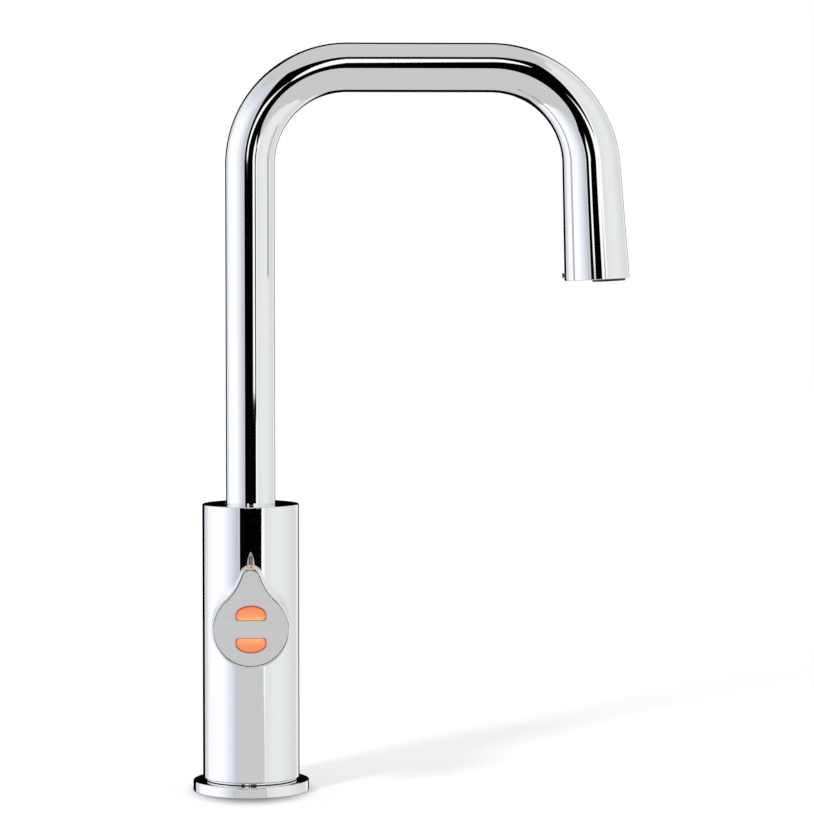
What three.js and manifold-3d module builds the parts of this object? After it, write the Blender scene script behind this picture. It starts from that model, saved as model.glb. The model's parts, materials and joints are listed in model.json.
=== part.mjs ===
// A boiling water tap for a kitchen worktop, in millimetres.
// +Z runs up the tap's axis and z = 0 is the worktop. The spout points along +X at rest,
// and the control lever looks along -Y, towards whoever uses the tap.

import * as THREE from 'three';
import { mergeVertices } from 'three/addons/utils/BufferGeometryUtils.js';
import Module from 'manifold-3d';

const wasm = await Module();
wasm.setup();

// ---- driving dimensions ------------------------------------------------------------------

const fitGap = 0.3; // left between any two neighbouring pieces

// base and worktop fixing
const flangeRadius = 30;
const flangeThickness = 5.5;
const gasketInnerRadius = 18.5;
const gasketWidth = 9;
const gasketThickness = 2.3;
const gasketProud = 0.3; // how far the gasket holds the flange off the worktop
const flangeChamfer = 0.6;
const worktopThickness = 30;
const shankRadius = 16;
const shankBoreRadius = 12.5;
const shankLength = 65; // below the worktop
const shankGrip = 8; // how far the shank's top stands in the carrier ring
const clampRadius = 27;
const clampGasketThickness = 3;
const clampPlateThickness = 2.5;
const nutThickness = 10;
const nutAcrossFlats = 41;

// body
const bodyRadius = 25;
const bodyWall = 2;
const bodyTopPlate = 3.3;
const neckRadius = 23.8;
const neckHeight = 0.9; // the recessed gap between flange and body
const carrierSpigot = 9.5; // height of the carrier ring inside the shell
const bodyChamfer = 0.5;

// waterways
const waterwaySpacing = 9.6; // between the boiling and the chilled pipe
const pipeRadius = 3.5;
const pipeBoreRadius = 2.5;
const pipeSocketDepth = 5;
const inletLength = 22;
const inletBarbs = 2;
const inletBarbProud = 0.5;
const inletBarbLength = 1.8;
const inletBarbPitch = 3;
const inletHoseInset = 0.4; // how much thinner the stub is where the hose grips it
const inletShoulderDrop = 3; // from the manifold down to that thinner part
const cableGlandRadius = 2.8;
const cableGlandWall = 1;
const cableGlandLip = 0.9;
const cableGlandLipThickness = 1.2;
const cableGlandSetback = 7.6; // from the tap's axis towards the back
const manifoldToBoss = 12; // free height between the manifold and the boss's bore
const headToBoss = 1.55; // free height between the boss and the head block
const headFloor = 9; // thickness of the head block under the spout's foot
const headHeight = 32.5;
const pipeHeadGrip = 3.4; // how deep the pipes stand in the head block

// spout
const tubeRadius = 12.7;
const tubeWall = 1.2;
const bendRadius = 50;
const spoutTop = 386.4; // height of the spout's upper edge
const spoutRun = 73.95; // straight length between the two bends
const dropTilt = 1.2; // degrees that the drop leg's inner side leans outwards
const dropLength = 60.6; // length of that side, from the bend to the leg's end
const dropWidthAtBend = 29.9; // the drop leg widens outwards on its way round the bend
const dropWidthAtEnd = 33.7;
const spoutFootEmbed = 12.6; // how deep the tube's lower end stands in the body
const footSleeveLength = 38;
const footTopThickness = 9;
const stopGrooveDepth = 2.2;
const retainingScrewSink = 0.8; // below the body's surface
const retainingScrewShoulder = 1; // how much thicker its thread is than its tip
const retainingKeyRadius = 1.1;
const retainingKeyDepth = 2;
const stopGrooveHeight = 4.6;
const swingDegrees = 180;
const bushWall = 2;
const thrustWasherThickness = 0.8;
const postRadius = 7.5;
const postGrip = 3.4; // how deep the post stands in the head block's floor
const postLength = 40;
const postBoreRadius = 1.6;
const postBoreOffset = 3.8;
const ringSectionRadius = 0.65;
const ringGrooveDepth = 1.5;
const ringSpread = 6; // from the water groove to each sealing ring
const waterGrooveHalf = 2;
const postChamfer = 1;
const waterTubeRadius = 3.6;
const waterTubeBoreRadius = 2.7;
const waterTubeSpacing = 9.2;
const footChannelWall = 0.6; // left each side of the chilled water's way up the foot's sleeve
const footSocketFloor = 0.5; // between that way and the sockets of the water tubes

// outlet
const outletDepth = 16; // height of the black insert inside the drop leg
const outletRecess = 0.8;
const nozzleRadius = 8.6;
const nozzleBoreRadius = 6.2;
const nozzleOffset = 6.2; // outwards from the middle of the drop leg
const nozzleProud = 1.3;
const straightenerHeight = 5;
const straightenerHoleRadius = 0.8;
const straightenerHoles = 6; // round the middle one
const outletScrewHeight = 2.8; // above the drop leg's end
const outletScrewHeadRadius = 1.3;
const outletScrewHeadProud = 0.9;
const outletScrewRadius = 0.8;
const outletScrewLength = 4.5;

// control boss and what turns in it
const knobHeight = 91.6;
const bossRadius = 19.75;
const bossWall = 2.75;
const bossStand = 24.5; // from the body's surface to the boss's front
const carrierLength = 25.7;
const carrierWall = 2;
const carrierFrontPlate = 3;
const carrierSetback = 2.5; // from the boss's front to the carrier's
const snapRingThickness = 1;
const snapRingWidth = 1.8;
const snapRingDepth = 1; // how far the snap ring stands in its groove
const snapRingMouth = 6;
const bossChamfer = 0.4;
const spindleRadius = 4;
const spindleSquare = 6;
const spindleShoulderRadius = 6;
const bushRadius = 6;
const hubWall = 2.5;
const runningGap = 0.1; // between the spindle and its bush
const springWireRadius = 0.7;
const springTurns = 6;
const springClearance = 0.9; // round the carrier's hub
const boardThickness = 1.6;
const circlipRadius = 6.5;
const circlipThickness = 1;
const circlipGrooveDepth = 1;
const circlipMouth = 5.6;
const spindleTail = 1.5; // behind the circlip
const magnetRadius = 5;
const magnetThickness = 2;
const stopPinRadius = 1.5;
const stopPinCircle = 12;
const stopPinInLever = 2.5;
const leverSwing = 35; // to either side

// lever
const leverGap = 0.5; // between the boss's front and the lever's back
const leverDepth = 18;
const faceRadius = 18.5;
const faceTipRadius = 4.5;
const faceTipCentre = 25.05; // above the lever's axis
const faceFlankRadius = 31.6;
const rimWidth = 1.2;
const facePlateThickness = 1.3;
const faceRecess = 0.2;
const cavityInset = 1.6;
const boardInset = 3.4;
const leverFloor = 6;
const boardLedge = 5.5;
const lightBoardThickness = 1.2;
const socketDepth = 3.2;
const leverScrewHeadRadius = 3.2;
const leverScrewHeadHeight = 1.8;
const leverScrewRadius = 1.6;
const leverScrewLength = 14;
const leverKeyRadius = 1.2;
const leverKeyDepth = 1.2;
const lensHalfWidth = 3.6;
const lensThickness = 1.5;
const lensSetback = 2.4; // from the lever's front edge
const lensDepth = 14.4;
const lensPegRadius = 1.2;
const lensPegSink = 0.5; // from the lens's front to its peg's end
const ledWidth = 2.4;
const ledHeight = 2.4;
const ledThickness = 1.6;

// buttons
const buttonHalfWidth = 7.75;
const buttonDome = 4.8; // from the button's widest line to its rounded top
const buttonFoot = 2.24; // from the widest line to the straight edge
const buttonCornerWidth = 1.9;
const buttonEdgeOffset = 4.6; // from the lever's axis to the straight edge
const buttonFlange = 0.9;
const buttonFlangeThickness = 1.2;
const buttonProud = 0.1; // beyond the lever's rim
const buttonTravel = 0.6;
const buttonFreePlay = 0.1;
const switchWidth = 6;
const switchHeight = 4;
const switchThickness = 1;

// facets round a full turn
const fineFacets = 40;
const facets = 24;
const smallFacets = 10;
const drillFacets = 8;
const keyFacets = 6;
const spoutFacets = 24;
const bendSteps = 8; // sections round each bend of the spout
const waterTubeFacets = 6;
const waterTubeBendSteps = 6;
const ringSides = 5; // round a sealing ring's section
const wireSides = 5;
const wireSteps = 8; // along one turn of the spring

const overlap = 0.5; // how far two bodies run into each other where they are joined
const over = 1; // how far a cutting tool runs past what it cuts

// ---- levels and places worked out from them -----------------------------------------------

const flangeTop = gasketProud + flangeThickness;
const carrierBottom = flangeTop + fitGap;
const bodyBottom = carrierBottom + neckHeight + fitGap;
const carrierTop = bodyBottom + carrierSpigot;
const bodyInnerRadius = bodyRadius - bodyWall;
const insideRadius = bodyInnerRadius - fitGap; // what fits inside the shell
const throughRadius = shankRadius + fitGap; // what fits round the shank
const shankTop = carrierBottom + shankGrip;

const bossBoreRadius = bossRadius - bossWall;
const manifoldBottom = carrierTop + fitGap;
const manifoldTop = knobHeight - bossBoreRadius - manifoldToBoss;
const inletTop = manifoldBottom + pipeSocketDepth;
const headBottom = knobHeight + bossRadius + headToBoss;
const headTop = headBottom + headHeight;
const bodyTop = headTop + fitGap + bodyTopPlate;
const seatLevel = headBottom + headFloor; // floor of the head block's cup
const pipeBottom = manifoldTop - pipeSocketDepth;
const pipeTop = headBottom + pipeHeadGrip;
const waterwayX = waterwaySpacing / 2;
const socketRadius = pipeRadius + fitGap;

const tubeInnerRadius = tubeRadius - tubeWall;
const bushInnerRadius = tubeRadius + fitGap;
const bushOuterRadius = bushInnerRadius + bushWall;
const headCupRadius = bushOuterRadius + fitGap;
const washerTop = seatLevel + fitGap + thrustWasherThickness;
const tubeFoot = bodyTop - spoutFootEmbed;
const collarTop = tubeFoot - fitGap;
const collarBottom = washerTop + fitGap;
const sleeveTop = collarTop + footSleeveLength;
const sleeveBoreRadius = postRadius + fitGap;
const sleeveBoreTop = sleeveTop - footTopThickness;
const postBottom = seatLevel - postGrip;
const postTop = postBottom + postLength;
const footSocketBottom = sleeveTop - footTopThickness / 2 + footSocketFloor;
const stopLevel = (collarBottom + collarTop) / 2;
const screwTipRadius = stopGrooveHeight / 2 - fitGap * 2;
const screwBodyRadius = screwTipRadius + retainingScrewShoulder;

const bendLevel = spoutTop - tubeRadius - bendRadius;
const dropBendX = bendRadius + spoutRun;
const dropTiltAngle = THREE.MathUtils.degToRad(dropTilt);
const dropTurn = Math.PI / 2 - dropTiltAngle; // how far round the second bend goes
const dropTaper = Math.atan((dropWidthAtEnd - dropWidthAtBend) / 2 / dropLength); // of each side
const dropLean = dropTiltAngle + dropTaper; // of the leg's middle line

const bossFront = bodyRadius + bossStand;
const bossBack = Math.sqrt(bodyInnerRadius ** 2 - bossRadius ** 2) + fitGap; // inside the shell
const carrierFront = bossFront - carrierSetback;
const carrierRadius = bossBoreRadius - fitGap;
const carrierBack = carrierFront - carrierLength;
const spindleBoreRadius = spindleRadius + runningGap;
const hubRadius = bushRadius + fitGap + hubWall;
const boardFront = carrierBack + fitGap + boardThickness;
const hubBack = boardFront + fitGap;
const bushBack = carrierBack + fitGap * 2 + circlipThickness;
const leverBack = bossFront + leverGap;
const leverFront = leverBack + leverDepth;
const faceFront = leverFront - faceRecess;
const faceBack = faceFront - facePlateThickness;
const cavityFloor = leverBack + leverFloor;
const boardBack = cavityFloor + boardLedge + fitGap;
const boardTopFace = boardBack + lightBoardThickness;
const switchBack = boardTopFace + fitGap;
const switchFront = switchBack + switchThickness;
const buttonFront = leverFront + buttonProud;
const buttonFlangeFront = faceBack - fitGap;
const buttonBack = switchFront + buttonTravel + buttonFreePlay;
const socketEnd = leverBack + socketDepth;
const spindleEnd = socketEnd - fitGap;
const spindleBack = bushBack - fitGap * 2 - circlipThickness - spindleTail;

// ---- geometry helpers --------------------------------------------------------------------

// A closed three.js geometry as a solid that can be cut and joined.
function solid(geometry) {
	const bare = geometry.clone();
	bare.deleteAttribute('normal');
	bare.deleteAttribute('uv');
	const merged = mergeVertices(bare, 1e-4);
	const index = merged.index.array;
	const corners = [];
	for (let i = 0; i < index.length; i += 3) {
		const [a, b, c] = index.slice(i, i + 3);
		if (a !== b && b !== c && c !== a) corners.push(a, b, c);
	}
	return new wasm.Manifold(new wasm.Mesh({
		numProp: 3,
		vertProperties: Float32Array.from(merged.attributes.position.array),
		triVerts: Uint32Array.from(corners),
	}));
}

// A solid back as flat-shaded three.js geometry.
function surface(body) {
	const mesh = body.getMesh();
	const indexed = new THREE.BufferGeometry();
	indexed.setAttribute('position', new THREE.BufferAttribute(mesh.vertProperties, 3));
	indexed.setIndex(new THREE.BufferAttribute(mesh.triVerts, 1));
	const geometry = indexed.toNonIndexed();
	geometry.computeVertexNormals();
	return geometry;
}

function cut(body, tools) {
	return tools.reduce((left, tool) => left.subtract(tool), body);
}

function join(bodies) {
	return bodies.reduce((all, body) => all.add(body));
}

// Turns a profile of [radius, z] points about Z. It runs up the outside, and closes
// itself unless both ends lie on the axis.
function turned(profile, segments = facets) {
	const points = profile.map(([r, z]) => new THREE.Vector2(r, z));
	const onAxis = profile[0][0] === 0 && profile.at(-1)[0] === 0;
	if (!onAxis) points.push(points[0].clone());
	return solid(new THREE.LatheGeometry(points, segments).rotateX(Math.PI / 2));
}

function rod(radius, bottom, top, segments = facets) {
	return turned([[0, bottom], [radius, bottom], [radius, top], [0, top]], segments);
}

function pipe(innerRadius, outerRadius, bottom, top, segments = facets) {
	const profile = [[innerRadius, bottom], [outerRadius, bottom], [outerRadius, top], [innerRadius, top]];
	return turned(profile, segments);
}

// A rod across the axis, from one point to another.
function crossRod(radius, from, to, segments = drillFacets) {
	const start = new THREE.Vector3(...from);
	const along = new THREE.Vector3(...to).sub(start);
	const geometry = new THREE.CylinderGeometry(radius, radius, along.length(), segments);
	geometry.translate(0, along.length() / 2, 0);
	geometry.applyQuaternion(new THREE.Quaternion().setFromUnitVectors(
		new THREE.Vector3(0, 1, 0),
		along.clone().normalize(),
	));
	return solid(geometry.translate(start.x, start.y, start.z));
}

function block(sizeX, sizeY, bottom, top, x = 0, y = 0) {
	const geometry = new THREE.BoxGeometry(sizeX, sizeY, top - bottom);
	return solid(geometry.translate(x, y, (bottom + top) / 2));
}

function plate(outline, bottom, top) {
	const settings = { depth: top - bottom, bevelEnabled: false };
	return solid(new THREE.ExtrudeGeometry(outline, settings).translate(0, 0, bottom));
}

// Points along part of a circle or ellipse, as many as its share of a full turn asks for.
function arc(x, y, wide, high, from, to, perTurn) {
	const steps = Math.max(3, Math.ceil(Math.abs(to - from) / (2 * Math.PI) * perTurn));
	const clockwise = to < from;
	return new THREE.EllipseCurve(x, y, wide, high, from, to, clockwise).getPoints(steps);
}

// An outline from arcs that run on from one another, without the points where they meet twice.
function outlineOf(arcs) {
	const points = arcs.flat();
	const apart = points.filter((point, i) => {
		const next = points[(i + 1) % points.length];
		return point.distanceTo(next) > 1e-4;
	});
	return new THREE.Shape(apart);
}

// A sector of a ring, centred on an angle, as a cutting tool or a part of a clip.
function ringSector(innerRadius, outerRadius, bottom, top, middle, halfAngle) {
	const [from, to] = [middle - halfAngle, middle + halfAngle];
	const outline = outlineOf([
		arc(0, 0, outerRadius, outerRadius, from, to, facets),
		arc(0, 0, innerRadius, innerRadius, to, from, facets),
	]);
	return plate(outline, bottom, top);
}

// Closes rings of points into one skin. The last ring joins the first, so a list that runs
// up the outside and back down the inside makes a hollow tube.
function ringSkin(rings) {
	const around = rings[0].length;
	const positions = rings.flat(2);
	const index = [];
	rings.forEach((ring, i) => {
		const next = (i + 1) % rings.length;
		ring.forEach((point, j) => {
			const beside = (j + 1) % around;
			const [a, b] = [i * around + j, i * around + beside];
			const [c, d] = [next * around + beside, next * around + j];
			index.push(a, b, c, a, c, d);
		});
	});
	const geometry = new THREE.BufferGeometry();
	geometry.setAttribute('position', new THREE.Float32BufferAttribute(positions, 3));
	geometry.setIndex(index);
	return geometry;
}

// ---- spout path ---------------------------------------------------------------------------

// A round section of the spout: its centre in the XZ plane, the heading of the tube there
// (0 is up, 90 degrees is along +X) and its radius.
function section(x, z, heading, radius) {
	return { x, z, heading, radius };
}

// The tube's width grows slowly round the second bend, all of it outwards.
function widthRoundBend(turn) {
	const growth = dropWidthAtBend - 2 * tubeRadius;
	return 2 * tubeRadius + growth * (turn / dropTurn) ** 1.9;
}

function bendSections(centreX, startHeading, fullTurn, steps, widthAt) {
	const sections = [];
	for (let i = 0; i <= steps; i += 1) {
		const turn = (i / steps) * fullTurn;
		const heading = startHeading + turn;
		const radius = widthAt(turn) / 2;
		const reach = bendRadius - tubeRadius + radius;
		const x = centreX - reach * Math.cos(heading);
		sections.push(section(x, bendLevel + reach * Math.sin(heading), heading, radius));
	}
	return sections;
}

// A section of the drop leg, at a distance from the bend along the leg's inner side.
function legSection(along) {
	const innerBend = bendRadius - tubeRadius;
	const innerX = dropBendX + innerBend * Math.cos(dropTiltAngle) + along * Math.sin(dropTiltAngle);
	const innerZ = bendLevel + innerBend * Math.sin(dropTiltAngle) - along * Math.cos(dropTiltAngle);
	const radius = dropWidthAtBend / 2 + along * Math.tan(dropTaper);
	const x = innerX + radius * Math.cos(dropLean);
	return section(x, innerZ + radius * Math.sin(dropLean), Math.PI - dropLean, radius);
}

function spoutSections(footLevel, steps, endLift = 0) {
	const even = () => 2 * tubeRadius;
	return [
		section(0, footLevel, 0, tubeRadius),
		...bendSections(bendRadius, 0, Math.PI / 2, steps, even),
		...bendSections(dropBendX, Math.PI / 2, dropTurn, steps, widthRoundBend),
		legSection(dropLength - endLift),
	];
}

// A ring of points round the spout's middle line, which may be moved sideways along Y.
function tubeRing({ x, z, heading }, radius, around, sideways = 0) {
	const ring = [];
	for (let j = 0; j < around; j += 1) {
		const angle = (j / around) * 2 * Math.PI;
		const across = radius * Math.cos(angle);
		const y = sideways - radius * Math.sin(angle);
		ring.push([x - Math.cos(heading) * across, y, z + Math.sin(heading) * across]);
	}
	return ring;
}

function hollowLoft(sections, outerRing, innerRing) {
	const outside = sections.map(outerRing);
	const inside = sections.map(innerRing).reverse();
	return solid(ringSkin([...outside, ...inside]));
}

// ---- base and worktop fixing --------------------------------------------------------------

function baseFlange() {
	const inner = gasketInnerRadius - fitGap;
	const outer = gasketInnerRadius + gasketWidth + fitGap;
	const grooveTop = gasketThickness + fitGap;
	return turned([
		[throughRadius, gasketProud],
		[inner, gasketProud],
		[inner, grooveTop],
		[outer, grooveTop],
		[outer, gasketProud],
		[flangeRadius, gasketProud],
		[flangeRadius, flangeTop - flangeChamfer],
		[flangeRadius - flangeChamfer, flangeTop],
		[throughRadius, flangeTop],
	], fineFacets);
}

function baseGasket() {
	return pipe(gasketInnerRadius, gasketInnerRadius + gasketWidth, 0, gasketThickness);
}

function carrierRing() {
	const shoulder = carrierBottom + neckHeight;
	return turned([
		[throughRadius, carrierBottom],
		[neckRadius, carrierBottom],
		[neckRadius, shoulder],
		[insideRadius, shoulder],
		[insideRadius, carrierTop],
		[throughRadius, carrierTop],
	]);
}

function threadedShank() {
	return pipe(shankBoreRadius, shankRadius, -shankLength, shankTop);
}

// A horseshoe that slides round the shank from the back.
function horseshoe(bottom, top) {
	const disc = rod(clampRadius, bottom, top);
	const hole = rod(throughRadius, bottom - over, top + over);
	const slotLength = clampRadius + over;
	const slot = block(2 * throughRadius, slotLength, bottom - over, top + over, 0, slotLength / 2);
	return cut(disc, [hole, slot]);
}

function lockNut(top) {
	const bottom = top - nutThickness;
	const hexRadius = nutAcrossFlats / 2 / Math.cos(Math.PI / 6);
	const hexagon = rod(hexRadius, bottom, top, 6);
	return cut(hexagon, [rod(throughRadius, bottom - over, top + over)]);
}

// ---- body ---------------------------------------------------------------------------------

// The upright chromed tube, closed by its flat top, with the side hole that the boss is
// brazed into, the hole the spout turns in and the retaining screw's hole at the back.
function bodyShell() {
	const tube = turned([
		[bodyInnerRadius, bodyBottom],
		[bodyRadius, bodyBottom],
		[bodyRadius, bodyTop - bodyChamfer],
		[bodyRadius - bodyChamfer, bodyTop],
		[bushInnerRadius, bodyTop],
		[bushInnerRadius, bodyTop - bodyTopPlate],
		[bodyInnerRadius, bodyTop - bodyTopPlate],
	], fineFacets);
	const bossHole = crossRod(
		bossRadius + fitGap,
		[0, 0, knobHeight],
		[0, -bodyRadius - over, knobHeight],
		fineFacets,
	);
	return cut(tube, [bossHole, screwHoleTool(bodyInnerRadius - over, bodyRadius + over)]);
}

// The hole for the retaining screw, drilled through whatever lies between two radii.
function screwHoleTool(from, to) {
	return crossRod(screwBodyRadius + fitGap, [0, from, stopLevel], [0, to, stopLevel], smallFacets);
}

function inletManifold() {
	const casting = rod(insideRadius, manifoldBottom, manifoldTop);
	const [below, above] = [manifoldBottom - over, manifoldTop + over];
	const drills = [-waterwayX, waterwayX].flatMap((x) => [
		rod(pipeBoreRadius, below, above, drillFacets).translate(x, 0, 0),
		rod(socketRadius, pipeBottom - fitGap, above, smallFacets).translate(x, 0, 0),
		rod(socketRadius, below, inletTop + fitGap, smallFacets).translate(x, 0, 0),
	]);
	const cableWay = rod(cableGlandRadius + fitGap, below, above, smallFacets);
	return cut(casting, [...drills, cableWay.translate(0, cableGlandSetback, 0)]);
}

// A stub for a hose, with barbs at its lower end.
function inletStub(x) {
	const bottom = inletTop - inletLength;
	const hoseRadius = pipeRadius - inletHoseInset;
	const shoulder = manifoldBottom - inletShoulderDrop;
	const profile = [[pipeBoreRadius, bottom], [hoseRadius, bottom]];
	for (let i = 0; i < inletBarbs; i += 1) {
		const start = bottom + inletBarbPitch * i;
		const crest = [hoseRadius + inletBarbProud, start + inletBarbLength];
		if (i > 0) profile.push([hoseRadius, start]);
		profile.push(crest, [hoseRadius, start + inletBarbLength]);
	}
	profile.push([hoseRadius, shoulder], [pipeRadius, shoulder]);
	profile.push([pipeRadius, inletTop], [pipeBoreRadius, inletTop]);
	return turned(profile, smallFacets).translate(x, 0, 0);
}

// A grommet in the manifold's cable way, with a lip below it.
function cableGland() {
	const lip = cableGlandRadius + cableGlandLip;
	const bore = cableGlandRadius - cableGlandWall;
	const lipTop = manifoldBottom - fitGap;
	const lipBottom = lipTop - cableGlandLipThickness;
	return turned([
		[bore, lipBottom],
		[lip, lipBottom],
		[lip, lipTop],
		[cableGlandRadius, lipTop],
		[cableGlandRadius, manifoldBottom + pipeSocketDepth],
		[bore, manifoldBottom + pipeSocketDepth],
	], smallFacets).translate(0, cableGlandSetback, 0);
}

function waterPipe(x) {
	return pipe(pipeBoreRadius, pipeRadius, pipeBottom, pipeTop, smallFacets).translate(x, 0, 0);
}

// A cup under the body's top that carries the post, the bush and the spout.
function headBlock() {
	const casting = turned([
		[0, headBottom],
		[insideRadius, headBottom],
		[insideRadius, headTop],
		[headCupRadius, headTop],
		[headCupRadius, seatLevel],
		[0, seatLevel],
	]);
	const drills = [-1, 1].flatMap((side) => [
		rod(socketRadius, headBottom - over, pipeTop + fitGap, smallFacets).translate(side * waterwayX, 0, 0),
		rod(postBoreRadius, pipeTop, postBottom, drillFacets).translate(side * postBoreOffset, 0, 0),
	]);
	const postSocket = rod(postRadius + fitGap, postBottom - fitGap, seatLevel + over);
	return cut(casting, [...drills, postSocket, screwHoleTool(headCupRadius - over, bodyRadius)]);
}

function thrustWasher() {
	return pipe(postRadius + fitGap, tubeRadius, seatLevel + fitGap, washerTop);
}

// ---- swivel -------------------------------------------------------------------------------

// Levels of the two sealing rings and of the water groove between them.
const waterGrooveLevel = (postTop + collarTop) / 2;
const ringLevels = [waterGrooveLevel - ringSpread, waterGrooveLevel + ringSpread];

// The fixed post: boiling water leaves through its top, chilled water through a groove
// between the two sealing rings.
function swivelPost() {
	const floor = postRadius - ringGrooveDepth;
	const grooves = [
		[ringLevels[0], ringSectionRadius + fitGap],
		[waterGrooveLevel, waterGrooveHalf],
		[ringLevels[1], ringSectionRadius + fitGap],
	];
	const profile = [[0, postBottom], [postRadius, postBottom]];
	grooves.forEach(([level, half]) => {
		profile.push([postRadius, level - half], [floor, level - half]);
		profile.push([floor, level + half], [postRadius, level + half]);
	});
	profile.push([postRadius, postTop - postChamfer], [postRadius - postChamfer, postTop], [0, postTop]);
	const boiling = rod(postBoreRadius, postBottom - over, postTop + over, drillFacets);
	const chilled = rod(postBoreRadius, postBottom - over, waterGrooveLevel, drillFacets);
	const port = crossRod(
		postBoreRadius,
		[postBoreOffset, 0, waterGrooveLevel],
		[postRadius + over, 0, waterGrooveLevel],
	);
	return cut(turned(profile), [
		boiling.translate(-postBoreOffset, 0, 0),
		chilled.translate(postBoreOffset, 0, 0),
		port,
	]);
}

function sealingRing(level) {
	const centre = postRadius - ringGrooveDepth + fitGap + ringSectionRadius;
	const profile = [];
	for (let i = 0; i < ringSides; i += 1) {
		const angle = (i / ringSides) * 2 * Math.PI;
		profile.push([
			centre + ringSectionRadius * Math.cos(angle),
			level + ringSectionRadius * Math.sin(angle),
		]);
	}
	return turned(profile);
}

function spoutBush() {
	const sleeve = pipe(bushInnerRadius, bushOuterRadius, washerTop, headTop);
	return cut(sleeve, [screwHoleTool(bushInnerRadius - over, bodyRadius)]);
}

// The grub screw from the back of the body, whose tip runs in the foot's groove.
function retainingScrew() {
	const tip = tubeRadius - stopGrooveDepth + fitGap;
	const root = bushInnerRadius + fitGap;
	const head = bodyRadius - retainingScrewSink;
	const keyFloor = head - retainingKeyDepth;
	const tipRod = crossRod(screwTipRadius, [0, tip, stopLevel], [0, root + overlap, stopLevel], smallFacets);
	const body = crossRod(screwBodyRadius, [0, root, stopLevel], [0, head, stopLevel], smallFacets);
	const key = crossRod(retainingKeyRadius, [0, keyFloor, stopLevel], [0, head + over, stopLevel], keyFacets);
	return cut(join([tipRod, body]), [key]);
}

// ---- spout --------------------------------------------------------------------------------

function spoutTube() {
	const sections = spoutSections(tubeFoot, bendSteps);
	const tube = hollowLoft(
		sections,
		(at) => tubeRing(at, at.radius, spoutFacets),
		(at) => tubeRing(at, at.radius - tubeWall, spoutFacets),
	);
	return cut(tube, [tipPlaced(outletScrewHole())]);
}

// Everything at the outlet is drawn with z = 0 at the end of the drop leg, z up along the leg
// and x outwards, and is then leaned and moved there.
function tipPlaced(body) {
	const { x, z } = legSection(dropLength);
	return body.rotate([0, -THREE.MathUtils.radToDeg(dropLean), 0]).translate([x, 0, z]);
}

// The swinging brass foot: a collar that bears in the bush, with the stop groove in it, and a
// sleeve up inside the tube that turns round the post and carries both water tubes.
function spoutFoot() {
	const sleeveRadius = tubeInnerRadius - fitGap;
	const casting = turned([
		[sleeveBoreRadius, collarBottom],
		[tubeRadius, collarBottom],
		[tubeRadius, collarTop],
		[sleeveRadius, collarTop],
		[sleeveRadius, sleeveTop],
		[0, sleeveTop],
		[0, sleeveBoreTop],
		[sleeveBoreRadius, sleeveBoreTop],
	]);
	const halfSwing = THREE.MathUtils.degToRad(swingDegrees / 2);
	const grooveFloor = tubeRadius - stopGrooveDepth;
	const pinAngle = Math.asin((screwTipRadius + fitGap) / grooveFloor);
	// At rest the screw, at the back, stands at one end of the groove.
	const middle = Math.PI / 2 + halfSwing;
	const groove = ringSector(
		grooveFloor,
		tubeRadius + over,
		stopLevel - stopGrooveHeight / 2,
		stopLevel + stopGrooveHeight / 2,
		middle,
		halfSwing + pinAngle,
	);
	const tubeY = waterTubeSpacing / 2;
	const wallY = (sleeveBoreRadius + sleeveRadius) / 2;
	const channelTop = footSocketBottom - footSocketFloor;
	const channelRadius = (sleeveRadius - sleeveBoreRadius) / 2 - footChannelWall;
	const sockets = [-tubeY, tubeY].map((y) => {
		const socket = rod(waterTubeRadius + fitGap, footSocketBottom, sleeveTop + over);
		return socket.translate(0, y, 0);
	});
	const boilingWay = rod(postBoreRadius, sleeveBoreTop - over, sleeveTop, drillFacets);
	const chilledWay = rod(channelRadius, waterGrooveLevel, channelTop, drillFacets);
	return cut(casting, [
		groove,
		...sockets,
		boilingWay.translate(0, -tubeY, 0),
		chilledWay.translate(0, wallY, 0),
		crossRod(channelRadius, [0, sleeveBoreRadius - over, waterGrooveLevel], [0, wallY, waterGrooveLevel]),
		crossRod(channelRadius, [0, tubeY, channelTop], [0, wallY, channelTop]),
	]);
}

function waterTube(side) {
	const sections = spoutSections(footSocketBottom + fitGap, waterTubeBendSteps, outletDepth + fitGap);
	const sideways = side * waterTubeSpacing / 2;
	return hollowLoft(
		sections,
		(at) => tubeRing(at, waterTubeRadius, waterTubeFacets, sideways),
		(at) => tubeRing(at, waterTubeBoreRadius, waterTubeFacets, sideways),
	);
}

// The black plug in the leg's end, whose round nozzle stands proud on the side away from the
// riser.
function outletInsert() {
	const radiusAt = (level) => dropWidthAtEnd / 2 - flankAt(level) - tubeWall - fitGap;
	const plug = turned([
		[0, outletRecess],
		[radiusAt(outletRecess), outletRecess],
		[radiusAt(outletDepth), outletDepth],
		[0, outletDepth],
	], spoutFacets);
	const mouthTop = outletRecess + straightenerHeight + fitGap;
	const nozzle = rod(nozzleRadius, -nozzleProud, outletRecess + overlap);
	const mouth = rod(nozzleBoreRadius, -nozzleProud - over, mouthTop);
	const ways = [-1, 1].map((side) => crossRod(
		waterTubeBoreRadius,
		[0, side * waterTubeSpacing / 2, outletDepth + over],
		[nozzleOffset, side * waterTubeBoreRadius, mouthTop - over],
	));
	return cut(join([plug, nozzle.translate(nozzleOffset, 0, 0)]), [
		mouth.translate(nozzleOffset, 0, 0),
		...ways,
		outletScrewHole(),
	]);
}

// The tapped hole through the tube's wall into the insert, on the side that faces the riser.
function outletScrewHole() {
	const start = -dropWidthAtEnd / 2 - over;
	const end = -dropWidthAtEnd / 2 + outletScrewLength + fitGap;
	return crossRod(outletScrewRadius + fitGap, [start, 0, outletScrewHeight], [end, 0, outletScrewHeight]);
}

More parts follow.
